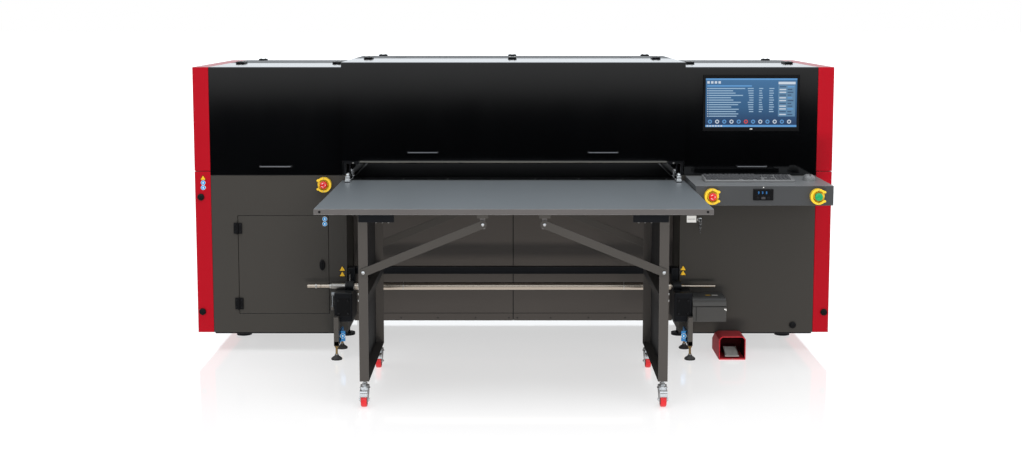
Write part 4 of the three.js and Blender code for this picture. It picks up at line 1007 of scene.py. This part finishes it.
def coat_with_painted_sheen(name, sheen_top_colour, edge_colour, highlight):
    """Textured coat, warm grey on the lip, with a painted sheen that makes upward faces paler and bluer, and
    a painted highlight along the edges.
    """
    material, tree, shader = new_material(name)
    grain = add_group(tree, GRAIN, Peel_Scale=600)
    split = tree.nodes.new("ShaderNodeSeparateXYZ")
    tree.links.new(tree.nodes.new("ShaderNodeNewGeometry").outputs["Normal"], split.inputs[0])
    # Upward faces take the painted sheen colour, as the overhead light would make them.
    up = math_node(tree, "GREATER_THAN", split.outputs["Z"], 0.7)
    fleck = noise_node(tree, 420.0, 2.0)
    flat = mix_colour(tree, fleck, shade(sheen_top_colour, 0.84), shade(sheen_top_colour, 1.16))
    edge = mix_colour(tree, grain["Tone"], shade(edge_colour, 0.90), shade(edge_colour, 1.10))
    base = mix_colour(tree, up, edge, flat)
    # Pale painted highlight along the edges.
    base = mix_colour(tree, add_group(tree, EDGE_WEAR_AND_HIGHLIGHT, Amount=highlight)["Mask"], base, (0.55, 0.56, 0.57))
    rubbed = noise_node(tree, 2.2, 6.0, (1.0, 0.25, 1.0))
    base = mix_colour(tree, math_node(tree, "MULTIPLY", rubbed, 0.10), base, (0.25, 0.26, 0.27))
    tree.links.new(base, shader.inputs["Base Color"])
    tree.links.new(math_node(tree, "MULTIPLY_ADD", rubbed, 0.2, 0.30), shader.inputs["Roughness"])
    bump_into(tree, shader, grain["Height"], 0.3, 0.0004)
    return material


# The top's pale blue-grey is a painted sheen of the overhead light, and its edges carry a strong painted
# highlight.
refined("table_top", 1.6, coat_with_painted_sheen("table_top_coat", (0.125, 0.143, 0.158), (0.070, 0.063, 0.061), 0.8))

# The panels' inner faces stand in the table's shade, which is painted on them as a near-black colour: painted
# shade.
LEG_TREE = LEG_PAINT.node_tree
LEG_SHADER = LEG_TREE.nodes["Principled BSDF"]
leg_places = LEG_TREE.nodes.new("ShaderNodeSeparateXYZ")
leg_normals = LEG_TREE.nodes.new("ShaderNodeSeparateXYZ")
LEG_TREE.links.new(LEG_TREE.nodes.new("ShaderNodeTexCoord").outputs["Object"], leg_places.inputs[0])
LEG_TREE.links.new(LEG_TREE.nodes.new("ShaderNodeTexCoord").outputs["Normal"], leg_normals.inputs[0])
shaded_inner_faces = math_node(LEG_TREE, "MULTIPLY", leg_places.outputs["X"], leg_normals.outputs["X"])
shaded_inner_faces = math_node(LEG_TREE, "LESS_THAN", shaded_inner_faces, -0.3)
flange_colour = LEG_SHADER.inputs["Base Color"].links[0].from_socket
painted_shade_colour = mix_colour(LEG_TREE, shaded_inner_faces, flange_colour, (0.013, 0.013, 0.014))
LEG_TREE.links.new(painted_shade_colour, LEG_SHADER.inputs["Base Color"])
for side_name, side in SIDES:
    refined("table_leg_" + side_name, 1.6, LEG_PAINT)
    refined("table_brace_" + side_name, 1.0, BRACE_PAINT)

BRACE_FOOT, BRACE_HEAD = (708, 643), (145, 872)
BRACE_HALF = 19


def brace_outline(side):
    (x0, z0), (x1, z1) = (side * BRACE_FOOT[0], BRACE_FOOT[1]), (side * BRACE_HEAD[0], BRACE_HEAD[1])
    start = math.atan2(z1 - z0, x1 - x0) + math.pi / 2
    points = []
    for (x, z), turn in (((x0, z0), start), ((x1, z1), start + math.pi)):
        for i in range(9):
            a = turn + math.pi * i / 8
            points.append((x + BRACE_HALF * math.cos(a), z + BRACE_HALF * math.sin(a)))
    return points


for side_name, side in SIDES:
    kit = Kit()
    kit.prism("y", brace_outline(side), -286.6, -280.6, BRACE_PAINT, 1)
    kit.settle("rear_brace_" + side_name, "table", "sheet_paint")


def bolt(kit, axis, centre, face, out, material, radius=8):
    """Hexagon head on a washer, standing out from face."""
    washer = sorted((face, face + out * 1.6))
    kit.rod(axis, centre, radius * 1.25, *washer, material, 0.4, 24)
    kit.rod(axis, centre, radius, *sorted((face + out * 1.4, face + out * 7)), material, 1.2, 6)
    kit.rod(axis, centre, radius * 0.45, *sorted((face + out * 6, face + out * 7.6)), material, 0.5, 16)


kit = Kit()
for _, side in SIDES:
    for x, z in (BRACE_FOOT, BRACE_HEAD):
        kit.lathe("y", (side * x, -1086.4, z), [(0, 0), (0, 9), (-2.4, 8.4), (-5, 5.4), (-6, 0)], ZINC, 24)
        bolt(kit, "y", (side * x, 0, z), -280.6, 1, ZINC)
    for z in (500, 532):
        for y in (-1040, -330):
            bolt(kit, "x", (0, y, z), side * 731, side, STEEL, 6)
    for y in (-1046, -321):
        for x in (590, 620, 650):
            bolt(kit, "z", (side * x, y, 0), 881, -1, STEEL, 5)
kit.settle("table_bolts", "table", "polished_steel")

# Hangers of the braces, bearer plates and corner gussets under the lip.
kit = Kit()
for _, side in SIDES:
    outer, inner = side * 728, side * 560
    kit.block(sorted((inner, outer)), (-1084, -1078), (882, 922), BLACK_PAINT, 1.5)
    kit.block(sorted((inner, outer)), (-1120 + 8, -1080), (917, 923), BLACK_PAINT, 1.5)
    kit.block(sorted((side * 905, side * 925)), (-1112, -1106), (925, 945), BLACK_PAINT, 1)
    kit.block(sorted((side * 118, side * 172)), (-1112, -1084), (905, 923), BRACE_PAINT, 1.5)
kit.settle("table_hangers", "table", "black_paint")
# Thin black discs on the lip's front where it has holes: painted shade of the holes.
kit = Kit()
for x in (-905, 905):
    kit.rod("y", (x, 0, 936.5), 6.0, -1120.8, -1119.6, BLACK_PLASTIC, 0.2, 16)
kit.settle("table_lip_plugs", "table", "black_plastic")

# ------------------------------------------------------------------ casters
# Swivel casters screwed into the side frames: zinc plated pressed forks with a toe brake, red
# moulded wheels on dark hubs.

WHEEL_RED = paint("red_polyurethane", (0.52, 0.012, 0.016), 0.36, peel=0.15, wear=0.1, worn=(0.5, 0.2, 0.18))
HUB_GREY = paint("hub_plastic", (0.035, 0.035, 0.038), 0.45)
for row, stem_y in (("front", -1054), ("rear", -313)):
    for side_name, side in SIDES:
        stem_x = side * 708.5
        fork = "%s_caster_fork_%s" % (row, side_name)
        wheel = "%s_caster_wheel_%s" % (row, side_name)
        refined(fork, 1.0, ZINC)
        axle_y = stem_y - 38
        kit = Kit()
        for out in (-1, 1):
            bolt(kit, "x", (0, axle_y, 35), stem_x + out * 19, out, ZINC, 7)
        kit.rod("z", (stem_x, stem_y, 0), 25, 80, 87, ZINC, 2)
        kit.rod("z", (stem_x, stem_y, 0), 13, 96, 108, ZINC, 1.5, 6)
        # Pressed brake housing over the wheel's front, and its toe plate.
        shield = [(-26, 86), (-34, 80), (-39, 68), (-41, 56), (-37.5, 55), (-36, 66), (-32, 76), (-24, 82)]
        kit.prism("x", [(axle_y + y, z) for y, z in shield], stem_x - 18, stem_x + 18, ZINC, 1)
        toe = [(stem_y - 66, 66), (stem_y - 64, 62), (axle_y - 38, 70), (axle_y - 38, 76)]
        kit.prism("x", toe, stem_x - 17, stem_x + 17, ZINC, 1)
        kit.settle("%s_caster_axle_%s" % (row, side_name), BODY_OF[fork], "chrome_plate")
        kit = Kit()
        tread = [(-14, 24), (-14, 31.5), (-10, 34.6), (0, 35), (10, 34.6), (14, 31.5), (14, 24)]
        kit.lathe("x", (stem_x, axle_y, 35), tread, WHEEL_RED, 40, loop=True)
        hub = [(-15.2, 0), (-15.2, 9), (-13, 10), (-11, 14), (-11, 22), (-13, 24.5), (13, 24.5), (11, 22),
               (11, 14),
               (13, 10), (15.2, 9), (15.2, 0)]
        kit.lathe("x", (stem_x, axle_y, 35), hub, HUB_GREY, 32)
        kit.settle("%s_caster_tread_%s" % (row, side_name), BODY_OF[wheel], "wheel_red", (wheel,))

# ------------------------------------------------------------------ docking clamps
# Zinc-plated clamp bars at the table's rear corners, each with three adjusting knobs on a black
# foot, and a black upright lever that locks the table to the bed.

for side_name, side in SIDES:
    refined("dock_clamp_" + side_name, 2.0, ZINC, 3)
    refined("dock_lever_" + side_name, 1.4, BLACK_PAINT, 2, 40)
    kit = Kit()
    x = side * 893
    for y in (-76, -54, 100):
        top = 984 if y < 0 else 990
        kit.lathe("z", (x, y, top), [(0, 0), (0, 8), (3, 9.5), (9, 9.5), (12, 7.5), (12, 0)], ZINC, 14)
        kit.rod("z", (x, y, top), 3, 11, 15, STEEL, 0.8, 12)
    kit.block((x - 13.6, x + 13.6), (-95.4, -4), (950.5, 955), BLACK_PAINT, 0.8)
    kit.settle("dock_clamp_knobs_" + side_name, "root", "black_plastic")
    kit = Kit()
    kit.lathe("z", (x, 30, 974.4), [(52, 0), (52, 6.5), (55, 8), (64, 8), (67, 5.5), (68, 0)], BLACK_PLASTIC,
              20)
    kit.settle("dock_lever_knob_" + side_name, "dock_lever_" + side_name, "black_plastic")

# ------------------------------------------------------------------ roll supports
# Black cast side supports under the bed with bored chucks for the roll shaft. Each stands on a
# warm grey square-tube toe with brass levelling studs and black domed pads, and a blue bracket.

POST_GREY = paint("post_powder_coat", (0.062, 0.056, 0.050), 0.48, worn=(0.22, 0.2, 0.18))
BRACKET_BLUE = paint("bracket_blue_paint", (0.03, 0.20, 0.48), 0.34, worn=(0.3, 0.4, 0.5))
BRASS = metal("brass_stud", (0.62, 0.42, 0.18), 0.30, (1, 1, 0.2), 90, 0.1)
RUBBER = paint("black_rubber", (0.012, 0.012, 0.013), 0.70, peel=0.5, peel_scale=260, wear=0.0, dust=0.2)
SHAFT_AXIS = (0, -62, 379)
STUD_PLACES = (-178.5, 74.5)
CHUCK_BORES = {"left": 16.2, "right": 8.2}

for side_name, side in SIDES:
    kit = Kit()
    outer, inner = side * 966, side * 868
    kit.block(sorted((outer, inner)), (-150, -2), (198, 358), BLACK_PAINT, 6, 3)
    kit.block(sorted((side * 900, outer + side * 1.5)), (-128, -24), (222, 334), BLACK_PAINT, 4, 2)
    kit.block(sorted((inner, side * 907)), (-3, 78), (198, 466), BLACK_PAINT, 3)
    kit.block(sorted((side * 880, side * 955)), (-152, -149), (230, 330), BLACK_PLASTIC, 2)
    for z in (244, 316):
        for x in (892, 943):
            bolt(kit, "y", (side * x, 0, z), -152, -1, BLACK_PAINT, 5)
    bore = CHUCK_BORES[side_name]
    low, high = sorted((inner, side * 914))
    ring = [(low, bore), (low, 27), (low + 1.5, 28), (low + 14, 28), (low + 15, 26.5), (low + 18, 26.5),
            (low + 19, 28), (high - 1.5, 28), (high, 27), (high, bore)]
    kit.lathe("x", SHAFT_AXIS, ring, BLACK_PAINT, 40, loop=True)
    kit.block(sorted((side * 876, side * 908)), (-84, -40), (352, 372), BLACK_PAINT, 3)
    for axis_y in (-178.5, -158.5):
        kit.block(sorted((side * 939, side * 965)), (axis_y - 13.5, axis_y + 13.5), (76, 232), POST_GREY, 2.5)
    kit.block(sorted((side * 939, side * 965)), (-192, 88), (76, 102), POST_GREY, 2.5)
    kit.block(sorted((side * 908, side * 939.5)), (-150, -144), (92, 150), BRACKET_BLUE, 2)
    kit.block(sorted((side * 930, side * 939.5)), (-150, -40), (88, 150), BRACKET_BLUE, 2)
    kit.block(sorted((side * 930, side * 962)), (-150, -40), (101.5, 107), BRACKET_BLUE, 2)
    sticker_disc(kit, side * 922, 122, -149.8, 14)
    for y in STUD_PLACES:
        place = (side * 952, y, 0)
        kit.rod("z", place, 6, 18, 90, BRASS, 0.8, 20)
        for i in range(9):
            kit.rod("z", place, 6.6, 24 + i * 5.2, 26.4 + i * 5.2, BRASS, 0.9, 20)
        kit.rod("z", place, 11, 66, 75.5, BRASS, 1.2, 6)
        kit.rod("z", place, 10, 24, 31, STEEL, 1.2, 6)
        pad = [(0, 0), (0, 29), (3, 30), (8, 29), (14, 22), (19, 14), (25, 11), (25, 0)]
        kit.lathe("z", place, pad, RUBBER, 36)
    kit.settle("roll_support_body_" + side_name, "root", "black_paint", ("roll_support_" + side_name,))
refined("roll_tie_bar", 3.0, BLACK_PAINT, 3)

kit = Kit()
for _, side in SIDES:
    for z in (288, 262):
        kit.rod("x", (0, -76, z), 9, *sorted((side * 967.4, side * 968.2)), STICKER_BLUE, 0.1, 24)
kit.rod("z", (-890, -62, 0), 4, 404, 446, CHROME, 1, 16)
kit.lathe("z", (-890, -62, 0), [(442, 0), (442, 5), (447, 7.5), (453, 7.5), (458, 4.5), (459, 0)],
          BLACK_PLASTIC, 20)
kit.settle("roll_support_marks", "root", "black_paint")

# ------------------------------------------------------------------ roll shaft
# Polished steel tube with a knurled drive sleeve on the left and turned journals at both ends.

SHAFT_STEEL = metal("polished_shaft_steel", (0.62, 0.53, 0.44), 0.24, (0.03, 1, 1), 60, 0.04, 0.06)


def knurled_steel():
    material, tree, shader = new_material("knurled_steel", Metallic=1.0, Roughness=0.34)
    cross = []
    for turn in (45, -45):
        mapping = tree.nodes.new("ShaderNodeMapping")
        mapping.inputs["Rotation"].default_value = (0, 0, math.radians(turn))
        tree.links.new(object_place(tree), mapping.inputs["Vector"])
        wave = tree.nodes.new("ShaderNodeTexWave")
        wave.inputs["Scale"].default_value = 170
        tree.links.new(mapping.outputs[0], wave.inputs["Vector"])
        cross.append(wave.outputs["Fac"])
    diamonds = math_node(tree, "MULTIPLY", *cross)
    base = mix_colour(tree, diamonds, (0.55, 0.52, 0.48), (0.85, 0.82, 0.77))
    tree.links.new(base, shader.inputs["Base Color"])
    bump_into(tree, shader, diamonds, 0.6, 0.0006)
    return material


KNURLED = knurled_steel()
kit = Kit()
tube = [(-864, 0), (-864, 19), (-862.5, 20.5), (858.5, 20.5), (860, 19), (860, 0)]
kit.lathe("x", SHAFT_AXIS, tube, SHAFT_STEEL, 48)
kit.rod("x", SHAFT_AXIS, 15.5, -990, -863, KNURLED, 1.5, 40)
left_end = [(-1122, 0), (-1122, 8.5), (-1120.5, 10), (-1050, 10), (-1049, 9), (-1046, 9), (-1045, 10),
            (-989, 10),
            (-989, 0)]
kit.lathe("x", SHAFT_AXIS, left_end, SHAFT_STEEL, 36)
for x in (-1078, -1000):
    kit.lathe("x", SHAFT_AXIS, [(x, 9), (x, 12.5), (x + 1, 13.5), (x + 8, 13.5), (x + 9, 12.5), (x + 9, 9)],
              STEEL, 36, loop=True)
right_end = [(859, 0), (859, 7.5), (930, 7.5), (931, 6.6), (936, 6.6), (937, 7.5), (1099, 7.5), (1100, 6.5),
             (1100, 0)]
kit.lathe("x", SHAFT_AXIS, right_end, SHAFT_STEEL, 32)
for x in (-846, -600, 600, 842):
    kit.lathe("x", SHAFT_AXIS, [(x, 20), (x, 20.8), (x + 2, 21.2), (x + 4, 20.8), (x + 4, 20)], STEEL, 48,
              loop=True)
kit.settle("roll_shaft_turned", "roll_shaft", "polished_steel", ("roll_shaft",))

refined("chuck_lever", 1.4, CAST_ALUMINIUM, 2, 40)
kit = Kit()
kit.lathe("z", (-977.4, -120, 348), [(-90, 0), (-90, 6.5), (-87, 9.6), (-72, 9.6), (-66, 6), (-66, 0)],
          POST_GREY, 24)
kit.settle("chuck_lever_knob", "chuck_lever", "black_plastic")

# ------------------------------------------------------------------ roll drive box
# Folded sheet cover with a curved front over the roll motor, a shadow gap under its lid, a clip and
# plain stickers.

# The box's paler top is a painted sheen of the overhead light, and its edges carry a painted highlight.
BOX_PAINT = coat_with_painted_sheen("drive_box_powder_coat", (0.085, 0.088, 0.090), (0.034, 0.032, 0.029), 0.4)
refined("roll_motor_box", 2.0, BOX_PAINT, 3, 50)
kit = Kit()
kit.block((967, 1146.5), (-162.9, -161.6), (283, 287), BLACK_PLASTIC, 0.3)
kit.block((984, 987), (-162.7, -161.6), (206, 283), BLACK_PLASTIC, 0.2)
kit.block((1136, 1147.6), (-164.5, -161), (268, 274), STICKER_WHITE, 0.8)
kit.block((1144, 1148.2), (-164.5, -120), (262, 274), STICKER_WHITE, 0.8)
kit.block((1046, 1072), (-84, -62), (330, 330.8), STICKER_YELLOW, 0.1)
kit.block((1080, 1112), (-84, -62), (330, 330.8), STICKER_WHITE, 0.1)
for i in range(7):
    y = -130 + i * 15
    kit.block((1147, 1148.2), (y, y + 7), (228, 300), BLACK_PLASTIC, 0.4)
kit.settle("roll_drive_box_trim", "root", "sheet_paint")

# ------------------------------------------------------------------ console shelf
# Folded operator shelf bolted to the right cabinet, powder coated, with a small three-key module
# and white pilot lamp.

# The shelf's pale top is a painted sheen of the overhead light, and its edges carry a faint painted
# highlight.
refined("console_shelf", 2.0,
        coat_with_painted_sheen("console_coat", (0.170, 0.178, 0.184), (0.031, 0.0325, 0.0345), 0.3), 3)
DIGIT_BLUE = glow("digit_blue", (0.05, 0.28, 0.70), 1.2)
FRONT = -447.4
kit = Kit()
kit.block((1230, 1334), (FRONT - 7, FRONT), (901, 960), BLACK_PLASTIC, 3, 3)
kit.block((1237, 1327), (FRONT - 8, FRONT - 6), (928, 955), BLACK_PLASTIC, 1.2)
SEGMENTS = ((0, 0, 6, 1.4), (0, 5, 6, 1.4), (0, 10, 6, 1.4), (4.6, 1, 1.4, 10))
for digit in range(3):
    x = 1254 + digit * 20
    for dx, dz, w, h in SEGMENTS:
        kit.block((x + dx, x + dx + w), (FRONT - 8.4, FRONT - 7.8), (936 + dz, 936 + dz + h), DIGIT_BLUE)
for x in (1254, 1310):
    kit.rod("y", (x, 0, 914), 6.5, FRONT - 9.5, FRONT - 6.5, BLACK_PAINT, 1, 24)
kit.block((1272, 1292), (FRONT - 9, FRONT - 6.5), (908, 920), TANK_PLASTIC, 2)
kit.rod("y", (1283, 0, 968), 3, FRONT - 1.6, FRONT, STICKER_WHITE, 0.6, 20)
kit.settle("console_module", "root", "black_plastic")

# ------------------------------------------------------------------ push buttons and guards
# Two red emergency mushroom buttons and a green start button on dark collars, each inside a yellow
# moulded guard ring with open sides.

GUARD_YELLOW = paint("guard_yellow_plastic", (0.80, 0.52, 0.02), 0.36, peel=0.12, wear=0.1,
                     worn=(0.6, 0.5, 0.3))
BUTTON_RED = paint("button_red_plastic", (0.58, 0.010, 0.012), 0.24, peel=0.04, wear=0.05, coat=0.3)
BUTTON_GREEN = paint("button_green_plastic", (0.01, 0.30, 0.10), 0.24, peel=0.04, wear=0.05, coat=0.3)
BUTTONS = (
    ("console_stop_button", 1019, 923, FRONT, BUTTON_RED, "button_red"),
    ("start_button", 1561, 923, FRONT, BUTTON_GREEN, "button_green"),
    ("left_stop_button", -1030, 929, 0, BUTTON_RED, "button_red"),
)


def arc(radius, start, end, count):
    return [(radius * math.cos(math.radians(start + (end - start) * i / count)),
             radius * math.sin(math.radians(start + (end - start) * i / count))) for i in range(count + 1)]


for button, x, z, face, colour, slot in BUTTONS:
    kit = Kit()
    stem = [(face - 6.3, 0), (face - 6.3, 11), (face - 24, 11), (face - 26, 13), (face - 26, 0)]
    kit.lathe("y", (x, 0, z), stem, HUB_GREY, 32)
    head = [(face - 26, 0), (face - 26, 17), (face - 29, 20.4), (face - 34, 21), (face - 40, 19.5),
            (face - 43, 14),
            (face - 42.2, 8), (face - 42, 0)]
    kit.lathe("y", (x, 0, z), head, colour, 40)
    for k in range(3 if slot == "button_red" else 0):
        spread = arc(11.5, 90 + k * 120, 150 + k * 120, 6)
        inside = arc(9.5, 90 + k * 120, 150 + k * 120, 6)[::-1]
        outline = [(x + u, z + v) for u, v in spread + inside]
        kit.prism("y", outline, face - 43.4, face - 41.5, STICKER_WHITE)
    kit.settle(button + "_head", button, slot, (button,))
    kit = Kit()
    open_at = 180 if button == "left_stop_button" else 0
    plate = [(face, 11.6), (face, 36), (face - 5, 36), (face - 7, 33), (face - 7, 11.6)]
    kit.lathe("y", (x, 0, z), plate, GUARD_YELLOW, 48, loop=True)
    kit.lathe("y", (x, 0, z), [(face - 6.5, 13), (face - 6.5, 26), (face - 10, 24), (face - 10, 13)],
              GUARD_YELLOW, 40,
              loop=True)
    ring = arc(41, open_at + 32, open_at + 328, 30) + arc(30, open_at + 328, open_at + 32, 30)
    kit.prism("y", [(x + u, z + v) for u, v in ring], face - 31, face, GUARD_YELLOW, 1.6)
    for horn in (open_at + 36, open_at - 36):
        u, v = 40 * math.cos(math.radians(horn)), 40 * math.sin(math.radians(horn))
        kit.rod("y", (x + u, 0, z + v), 6.5, face - 29, face, GUARD_YELLOW, 1.4, 20)
    for turn in (90, 270):
        u, v = 35.5 * math.cos(math.radians(turn)), 35.5 * math.sin(math.radians(turn))
        kit.lathe("y", (x + u, face - 31, z + v), [(0, 0), (0, 3), (-1.2, 2.4), (-1.6, 0)], STEEL, 14)
    kit.settle(button + "_guard", "root", "button_red" if slot == "button_red" else "button_green")

# ------------------------------------------------------------------ keyboard and mouse
# Full-size moulded keyboard with low keycaps and a small mouse, both loose on the shelf.

KEY_PLASTIC = paint("keycap_plastic", (0.050, 0.051, 0.055), 0.45, specular=0.3, peel=0.2, peel_scale=1500,
                    wear=0.15,
                    worn=(0.05, 0.05, 0.05))
BOARD_GREY = paint("keyboard_case_plastic", (0.19, 0.195, 0.20), 0.34, peel=0.2, peel_scale=1500, wear=0.1)
refined("keyboard", 2.0, BOARD_GREY)
KEYS_X, KEYS_Y, KEYS_Z = 1240.5, -222.0, 976.4
KEY_PITCH = 19.0
KEY_TILT = math.atan2(13, 124)


def key_spot(x, y):
    """A place on the keyboard's sloping top, from its middle."""
    return (KEYS_X + x, KEYS_Y + y, KEYS_Z + 12.2 + (y + 66) * math.tan(KEY_TILT))


cap = Kit()
tilt = Matrix.Rotation(KEY_TILT, 4, "X") @ Matrix.Rotation(math.radians(45), 4, "Z")
cap.lathe("z", (0, 0, 0), [(-1, 0), (-1, 12), (2, 12), (6, 9.4), (6.2, 8.6), (6.2, 0)], KEY_PLASTIC, 4,
          turn=tilt)
spots = []
rows = ((-36, 0.5, 11), (-17, 0.25, 12), (2, 0, 13), (21, -0.5, 14))
for y, shift, count in rows:
    spots += [key_spot(-222 + (2.0 + shift + i) * KEY_PITCH, y) for i in range(count)]
for y in (-55, -36, -17, 2, 21):
    spots += [key_spot(150 + i * KEY_PITCH, y) for i in range(4)]
for y in (-55, 2, 21):
    spots += [key_spot(86 + i * KEY_PITCH, y) for i in range(3)]
spots.append(key_spot(86 + KEY_PITCH, -36))
spots += [key_spot(-222 + i * KEY_PITCH + (i > 0) * 10 + (i > 4) * 8 + (i > 8) * 8, 44) for i in range(13)]
repeated("keyboard_caps", cap, spots, KEY_PLASTIC, "root")
kit = Kit()
WIDE_KEYS = (
    (-112, -55, 112), (-214, -55, 24), (-186, -55, 22), (-22, -55, 24), (6, -55, 24), (48, -55, 24),
    (-210, -36, 32), (36, -36, 46), (-208, -17, 34), (42, -17, 36), (-213, 2, 26), (-222, 21, 17),
    (58, 21, 30), (56, 2, 24),
)
for x, y, width in WIDE_KEYS:
    spot = key_spot(x, y)
    turn = Matrix.Translation(Vector(spot) * MM) @ Matrix.Rotation(KEY_TILT, 4, "X")
    kit.block((-width / 2, width / 2), (-8.2, 8.2), (-1, 6), KEY_PLASTIC, 1.8, 2, turn)
kit.settle("keyboard_wide_caps", "root", "black_plastic")

kit = Kit()
part = bmesh.new()
MOUSE_AROUND, MOUSE_RINGS = 40, 24
MOUSE_X, MOUSE_Y, SHELF_TOP = 1566, -200, 976.2


def mouse_point(ring, step):
    """A point of the shell: a ball drawn out to the palm's shape, flat on the shelf."""
    down, round_about = math.pi * ring / MOUSE_RINGS, 2 * math.pi * step / MOUSE_AROUND
    x = math.sin(down) * math.cos(round_about)
    y = math.sin(down) * math.sin(round_about)
    z = math.cos(down)
    taper = 1 - 0.10 * y
    wide = 31 * taper * math.copysign(abs(x) ** 0.8, x)
    long = 53 * math.copysign(abs(y) ** 0.85, y)
    rise = (33 - 7 * y) * z ** 0.75 if z > 1e-6 else 0.0
    return part.verts.new(Vector((MOUSE_X + wide, MOUSE_Y + long, SHELF_TOP + rise)) * MM)


crown, sole = mouse_point(0, 0), mouse_point(MOUSE_RINGS, 0)
rows = [[mouse_point(ring, step) for step in range(MOUSE_AROUND)] for ring in range(1, MOUSE_RINGS)]
for step in range(MOUSE_AROUND):
    after = (step + 1) % MOUSE_AROUND
    part.faces.new((crown, rows[0][step], rows[0][after]))
    part.faces.new((sole, rows[-1][after], rows[-1][step]))
    for upper, lower in zip(rows, rows[1:]):
        part.faces.new((upper[step], lower[step], lower[after], upper[after]))
kit.take(part, BOARD_GREY)
kit.rod("x", (0, -228, 1001), 9, 1562, 1570, RUBBER, 1.5, 24)
kit.block((1565.4, 1566.6), (-246, -196), (994, 1011.4), HUB_GREY, 0.3)
kit.settle("mouse", "root", "black_plastic")

# ------------------------------------------------------------------ key switch
# Plated cylinder lock on the right cabinet with two keys on a split ring, and a blank engraved plate.

kit = Kit()
kit.block((948, 1000), (-1.6, 0), (719, 757), STICKER_WHITE, 0.6)
kit.block((953, 995), (-1.9, -1.4), (737, 739), TANK_PLASTIC, 0.1)
lock = [(0, 0), (0, 14), (-3, 15), (-6, 13.5), (-9, 11), (-10, 0)]
kit.lathe("y", (1020, 0, 735), lock, CHROME, 36)
kit.block((1018.6, 1021.4), (-26, -9), (729, 741), STEEL, 0.6)
kit.rod("x", (0, -28, 735), 9.5, 1018.7, 1021.3, BLACK_PLASTIC, 0.8, 24)
ring = [(math.cos(a) * 11, math.sin(a) * 11) for a in (2 * math.pi * i / 24 for i in range(25))]
kit.tube([(1020 + u * 0.5, -30 + u * 0.4, 722 + v) for u, v in ring], 0.9, CHROME, 8)
kit.block((1012, 1024), (-30, -28), (690, 712), CHROME, 0.8)
kit.block((1015, 1021), (-29.6, -28.4), (666, 692), CHROME, 0.5)
kit.settle("key_switch", "root", "chrome_plate")

# ------------------------------------------------------------------ cover lugs and top trims
# Low black lugs along the covers' rear top edges, and dark finger slots.

kit = Kit()
for x, top in ((-1541, 1567), (1557, 1567), (-800, 1594), (-5, 1594), (812, 1594)):
    kit.block((x - 25, x + 25), (1070, 1112), (top, top + 9), BLACK_PAINT, 2.5)
    for bolt_x in (x - 13, x + 13):
        kit.rod("z", (bolt_x, 1091, 0), 4.5, top + 8.5, top + 12, STEEL, 1, 16)
# Two thin black plates stand for the dark finger slots: painted shade of their hollows.
for x in (-670, 670):
    kit.block((x - 34, x + 34), (774, 788), (1593.8, 1595), BLACK_PLASTIC, 0.4)
kit.settle("cover_top_lugs", "root", "black_paint")

# ------------------------------------------------------------------ foot pedal
# Cast red hood over a hinged ribbed aluminium treadle, on a rubber base; it stands loose on the
# floor.

PEDAL_RED = paint("pedal_red_enamel", (0.40, 0.005, 0.014), 0.34, peel=0.25, peel_scale=350, wear=0.35,
                  worn=(0.25, 0.05, 0.05))
refined("pedal_hood", 2.6, PEDAL_RED, 3, 20)
TREADLE_METAL = metal("treadle_aluminium", (0.62, 0.60, 0.57), 0.34, (1, 0.05, 1), 90, 0.12)
# Near-black dark red for inside the pedal hood: painted shade.
PAINTED_PEDAL_SHADE = paint("pedal_inside", (0.016, 0.0015, 0.002), 0.7, wear=0.0, specular=0.1)
refined("pedal_treadle", 1.6, TREADLE_METAL)
TREADLE_PIVOT = Vector((1179, -176, 20))
slope = Matrix.Translation(TREADLE_PIVOT * MM) @ Matrix.Rotation(math.radians(14), 4, "X")
kit = Kit()
for i in range(11):
    kit.block((-34, 34), (4 + i * 9, 8 + i * 9), (2.5, 4.6), TREADLE_METAL, 0.9, 2, slope)
kit.block((-38, -35), (-5, 112), (2.5, 6), TREADLE_METAL, 0.8, 2, slope)
kit.block((35, 38), (-5, 112), (2.5, 6), TREADLE_METAL, 0.8, 2, slope)
kit.settle("pedal_treadle_ribs", "pedal_treadle", "aluminium")
kit = Kit()
for x in (1114, 1244):
    kit.lathe("x", (0, -60, 40),
              [(x, 0), (x, 6), (x + (2 if x > 1179 else -2), 5), (x + (3 if x > 1179 else -3), 0)], STEEL, 20)
kit.lathe("y", (1179, -190, 5), [(0, 0), (0, 3.5), (-1.4, 3), (-2, 0)], STEEL, 16)
kit.block((1109, 1249), (-188, 68), (0, 2.5), RUBBER, 0.8)
# Thin dark sheets lining the inside of the hood stand for its painted shade.
kit.block((1113, 1114), (-184, -52), (10, 112), PAINTED_PEDAL_SHADE, 0.2)
kit.block((1244, 1245), (-184, -52), (10, 112), PAINTED_PEDAL_SHADE, 0.2)
kit.block((1114, 1244), (-50, -48.5), (10, 120), PAINTED_PEDAL_SHADE, 0.2)
kit.block((1127, 1231), (-184, -52), (120.4, 121.6), PAINTED_PEDAL_SHADE, 0.2)
kit.settle("pedal_screws_and_mat", "root", "red_paint")
